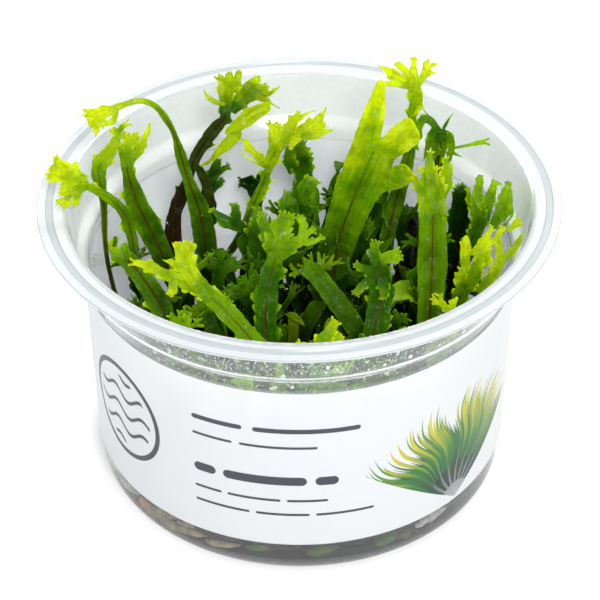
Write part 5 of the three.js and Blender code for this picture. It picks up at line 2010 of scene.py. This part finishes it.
def joined_copies(name: str, groups: Sequence[tuple[Object, Sequence[Matrix]]]) -> Object:
    """Copies patterns to many places, each copy with its own faces, and joins them to one piece.

    Args:
        name: the piece's name.
        groups: each pattern with the places of its copies.

    Returns:
        The piece. The patterns are removed.
    """
    whole = bmesh.new()
    for pattern, places in groups:
        for place in places:
            copy = pattern.data.copy()
            copy.transform(place)
            whole.from_mesh(copy)
            bpy.data.meshes.remove(copy)
        bpy.data.objects.remove(pattern)
    mesh = bpy.data.meshes.new(name)
    whole.to_mesh(mesh)
    whole.free()
    piece = bpy.data.objects.new(name, mesh)
    bpy.context.collection.objects.link(piece)
    return piece


@dataclass
class Condensation:
    """Drops of water on the inside of the wall under the flange and along the lip."""

    cup: ClearCup
    small: int = 3000
    large: int = 30
    lip: int = 320
    # Bands of height on the neck, on the wall below it and on the lip, and the neck's share of the drops.
    neck_band: tuple[float, float] = (51.7, 58.8)
    wall_band: tuple[float, float] = (46.9, 49.0)
    lip_band: tuple[float, float] = (59.4, 60.3)
    neck_share: float = 0.85
    # Smallest and largest size of the large drops and of those on the lip, in millimetres.
    large_sizes: tuple[float, float] = (0.7, 1.1)
    lip_sizes: tuple[float, float] = (0.3, 0.9)
    seed: int = 5

    def drop(self) -> Object:
        """Models one drop, 1 mm across.

        Returns:
            The drop, whose flat side looks along +X.
        """
        deselect_all()
        bpy.ops.mesh.primitive_uv_sphere_add(segments=8, ring_count=4, radius=0.5 * MM)
        piece = bpy.context.object
        bpy.ops.object.mode_set(mode="EDIT")
        bpy.ops.mesh.select_all(action="SELECT")
        bpy.ops.mesh.bisect(plane_co=(0, 0, 0), plane_no=(-1, 0, 0), clear_inner=True, use_fill=True)
        bpy.ops.object.mode_set(mode="OBJECT")
        return piece

    def place(self, angle: float, radius: float, height: float, size: float, flat: float) -> Matrix:
        """Places a drop.

        Args:
            angle: its angle about the upright axis, in radians.
            radius: its distance from the axis in millimetres.
            height: its height in millimetres.
            size: how wide it is in millimetres.
            flat: how thick it is against its width.

        Returns:
            The drop's placing.
        """
        turn = Matrix.Rotation(angle, 4, "Z")
        spot = turn @ Vector((radius, 0, height))
        return Matrix.Translation(spot * MM) @ turn @ Matrix.Diagonal((-size * flat, size, size, 1))

    def build(self) -> None:
        """Scatters the drops and dresses them, softly fogged like the plastic that they lie on."""
        dice = random.Random(self.seed)
        places = []
        for _ in range(self.small + self.large):
            large = len(places) < self.large
            height = dice.uniform(*(self.neck_band if dice.random() < self.neck_share else self.wall_band))
            size = dice.uniform(*self.large_sizes) if large else dice.triangular(0.1, 0.4, 0.16)
            angle = dice.gauss(-math.pi / 2 - 0.25, 0.75)
            places.append(self.place(angle, self.cup.inner_radius(height) - 0.02, height, size, 0.5))
        for _ in range(self.lip):
            height = dice.uniform(*self.lip_band)
            angle = -math.pi / 2 + dice.choice((-1, 1)) * dice.gauss(0.75, 0.4)
            size = dice.uniform(*self.lip_sizes)
            places.append(self.place(angle, self.cup.opening_radius - 0.5, height, size, 0.8))
        piece = joined_copies("condensation_drops", [(self.drop(), places)])
        piece.data.materials.append(ClearPlastic("fogged_water_drops", 0.42, 0.1, "#f8faf9").make())
        pick(piece)
        bpy.ops.object.mode_set(mode="EDIT")
        bpy.ops.mesh.select_all(action="SELECT")
        bpy.ops.mesh.normals_make_consistent(inside=False)
        bpy.ops.object.mode_set(mode="OBJECT")
        smooth(piece, 40)
        ride(piece, "clear_plastic")


@dataclass
class WrapLabel:
    """The paper label that goes round the wall and overlaps at the back."""

    cup: ClearCup
    foot: float = 8.5
    top: float = 46.6
    gap: float = 0.35
    thickness: float = 0.14
    overlap: float = 5.0
    columns: int = 220
    rows: int = 10

    def build(self) -> None:
        """Cuts the label flat, winds it round the wall and dresses it."""
        deselect_all()
        bpy.ops.mesh.primitive_grid_add(x_subdivisions=self.columns, y_subdivisions=self.rows, size=MM)
        piece = bpy.context.object
        piece.name = "label_sleeve"
        height = self.top - self.foot
        around = math.tau * (self.cup.inner_radius((self.foot + self.top) / 2) + self.cup.wall + self.gap)
        length = around + self.overlap
        print_map = piece.data.uv_layers.active or piece.data.uv_layers.new(name="print")
        print_map.name = "print"
        flat = []
        for point in piece.data.vertices:
            across = (point.co.x / MM) * length
            up = (point.co.y / MM + 0.5) * height + self.foot
            flat.append((across, up))
            angle = across / around * math.tau
            lap = max(0.0, (across + length / 2 - around) / self.overlap)
            ripple = 0.03 * noise.noise(Vector((across * 0.12, up * 0.12, 0)))
            radius = self.cup.inner_radius(up) + self.cup.wall + self.gap + ripple + 0.18 * min(1.0, lap * 2)
            point.co = Vector((math.sin(angle) * radius, -math.cos(angle) * radius, up)) * MM
        for loop in piece.data.loops:
            print_map.data[loop.index].uv = flat[loop.vertex_index]
        apply_modifier(piece, "SOLIDIFY", thickness=self.thickness * MM, offset=0.0)
        piece.data.materials.append(LabelPrint().make())
        piece.data.materials.append(LabelPrint().make_back())
        for face in piece.data.polygons:
            face.material_index = int(face.normal.xy.dot(face.center.xy) < 0)
        smooth(piece)
        ride(piece, "label_paper", "label")


@dataclass
class GrowthGel:
    """The shallow layer of clear gel in the cup's foot."""

    cup: ClearCup
    top: float = 8.7
    meniscus: float = 0.5
    grip: float = 0.15
    steps: int = 144

    def build(self) -> None:
        """Spins the gel and gives it its tint."""
        # The gel reaches a little into the plastic, so that no film of air lies between them.
        side = self.cup.inner_radius(self.cup.corner) + self.grip
        bend = self.cup.corner - self.cup.wall + self.grip
        outline = [(0, self.cup.wall - self.grip)]
        outline += arc((side - bend, self.cup.wall - self.grip + bend), bend, -90, 0, 6)
        outline += [(side, self.top + self.meniscus), (side - 0.5, self.top + self.meniscus * 0.4),
                    (side - 1.5, self.top), (0, self.top)]
        piece = turned_piece("growth_gel_body", outline, self.steps)
        piece.data.materials.append(AgarGel("agar_gel", "#4c4d46", 1.34, 560.0, "#ecebe2").make())
        smooth(piece, 35)
        ride(piece, "growth_gel", "growth_gel")


@dataclass
class Studio:
    """Floor, lamps and camera."""

    floor_size: float = 4.0

    def build(self) -> None:
        """Sets the floor, the lamps and the camera."""
        deselect_all()
        bpy.ops.mesh.primitive_plane_add(size=self.floor_size)
        floor = bpy.context.object
        floor.name = "studio_floor"
        sweep = PlainSurface("white_sweep", "#fafafa", "#ffffff", 300, 0.9, 0.0, 0.3)
        floor.data.materials.append(sweep.make())
        world = bpy.data.worlds.new("soft_white")
        world.use_nodes = True
        world.node_tree.nodes["Background"].inputs["Color"].default_value = linear("#ffffff")
        world.node_tree.nodes["Background"].inputs["Strength"].default_value = 0.5
        bpy.context.scene.world = world
        self.add_lamp("key_lamp", (0.12, -0.7, 0.75), 0.26, 5.2)
        self.add_lamp("back_lamp", (0.3, 0.55, 0.8), 0.4, 4.0)
        self.add_camera()
        bpy.context.scene.view_settings.view_transform = "Standard"

    def add_lamp(self, name: str, place: tuple[float, float, float], size: float, power: float) -> None:
        """Adds a square lamp that looks at the cup.

        Args:
            name: the lamp's name.
            place: where it hangs, in metres.
            size: its side in metres.
            power: its power in watts.
        """
        deselect_all()
        bpy.ops.object.light_add(type="AREA", location=place)
        lamp = bpy.context.object
        lamp.name = name
        lamp.data.size = size
        lamp.data.energy = power
        lamp.rotation_euler = (Vector(place) - Vector((0, 0, 0.04))).to_track_quat("Z", "Y").to_euler()

    def add_camera(self) -> None:
        """Adds the camera at the photograph's viewing angle."""
        rise = math.radians(CAMERA_ELEVATION)
        roll = math.radians(CAMERA_ROLL)
        back = Vector((0, -math.cos(rise), math.sin(rise)))
        side = Vector((1, 0, 0))
        over = back.cross(side)
        right = side * math.cos(roll) + over * math.sin(roll)
        up = over * math.cos(roll) - side * math.sin(roll)
        place = (Vector(CAMERA_TARGET) + back * CAMERA_DISTANCE) * MM
        data = bpy.data.cameras.new("camera")
        data.lens = CAMERA_LENS
        data.sensor_width = SENSOR_WIDTH
        data.clip_start = 0.01
        camera = bpy.data.objects.new("camera", data)
        camera.matrix_world = Matrix.Translation(place) @ Matrix((right, up, back)).transposed().to_4x4()
        bpy.context.collection.objects.link(camera)
        bpy.context.scene.camera = camera


def main() -> None:
    """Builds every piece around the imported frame."""
    logging.basicConfig(level=logging.INFO, format="%(message)s")
    noise.seed_set(NOISE_SEED)
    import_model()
    cup = ClearCup()
    Studio().build()
    cup.build()
    WrapLabel(cup).build()
    GrowthGel(cup).build()
    Stems(cup).build()
    finishes = Ferns(cup).build()
    Thicket(cup, finishes).build()
    Condensation(cup).build()


if __name__ == "__main__":
    main()
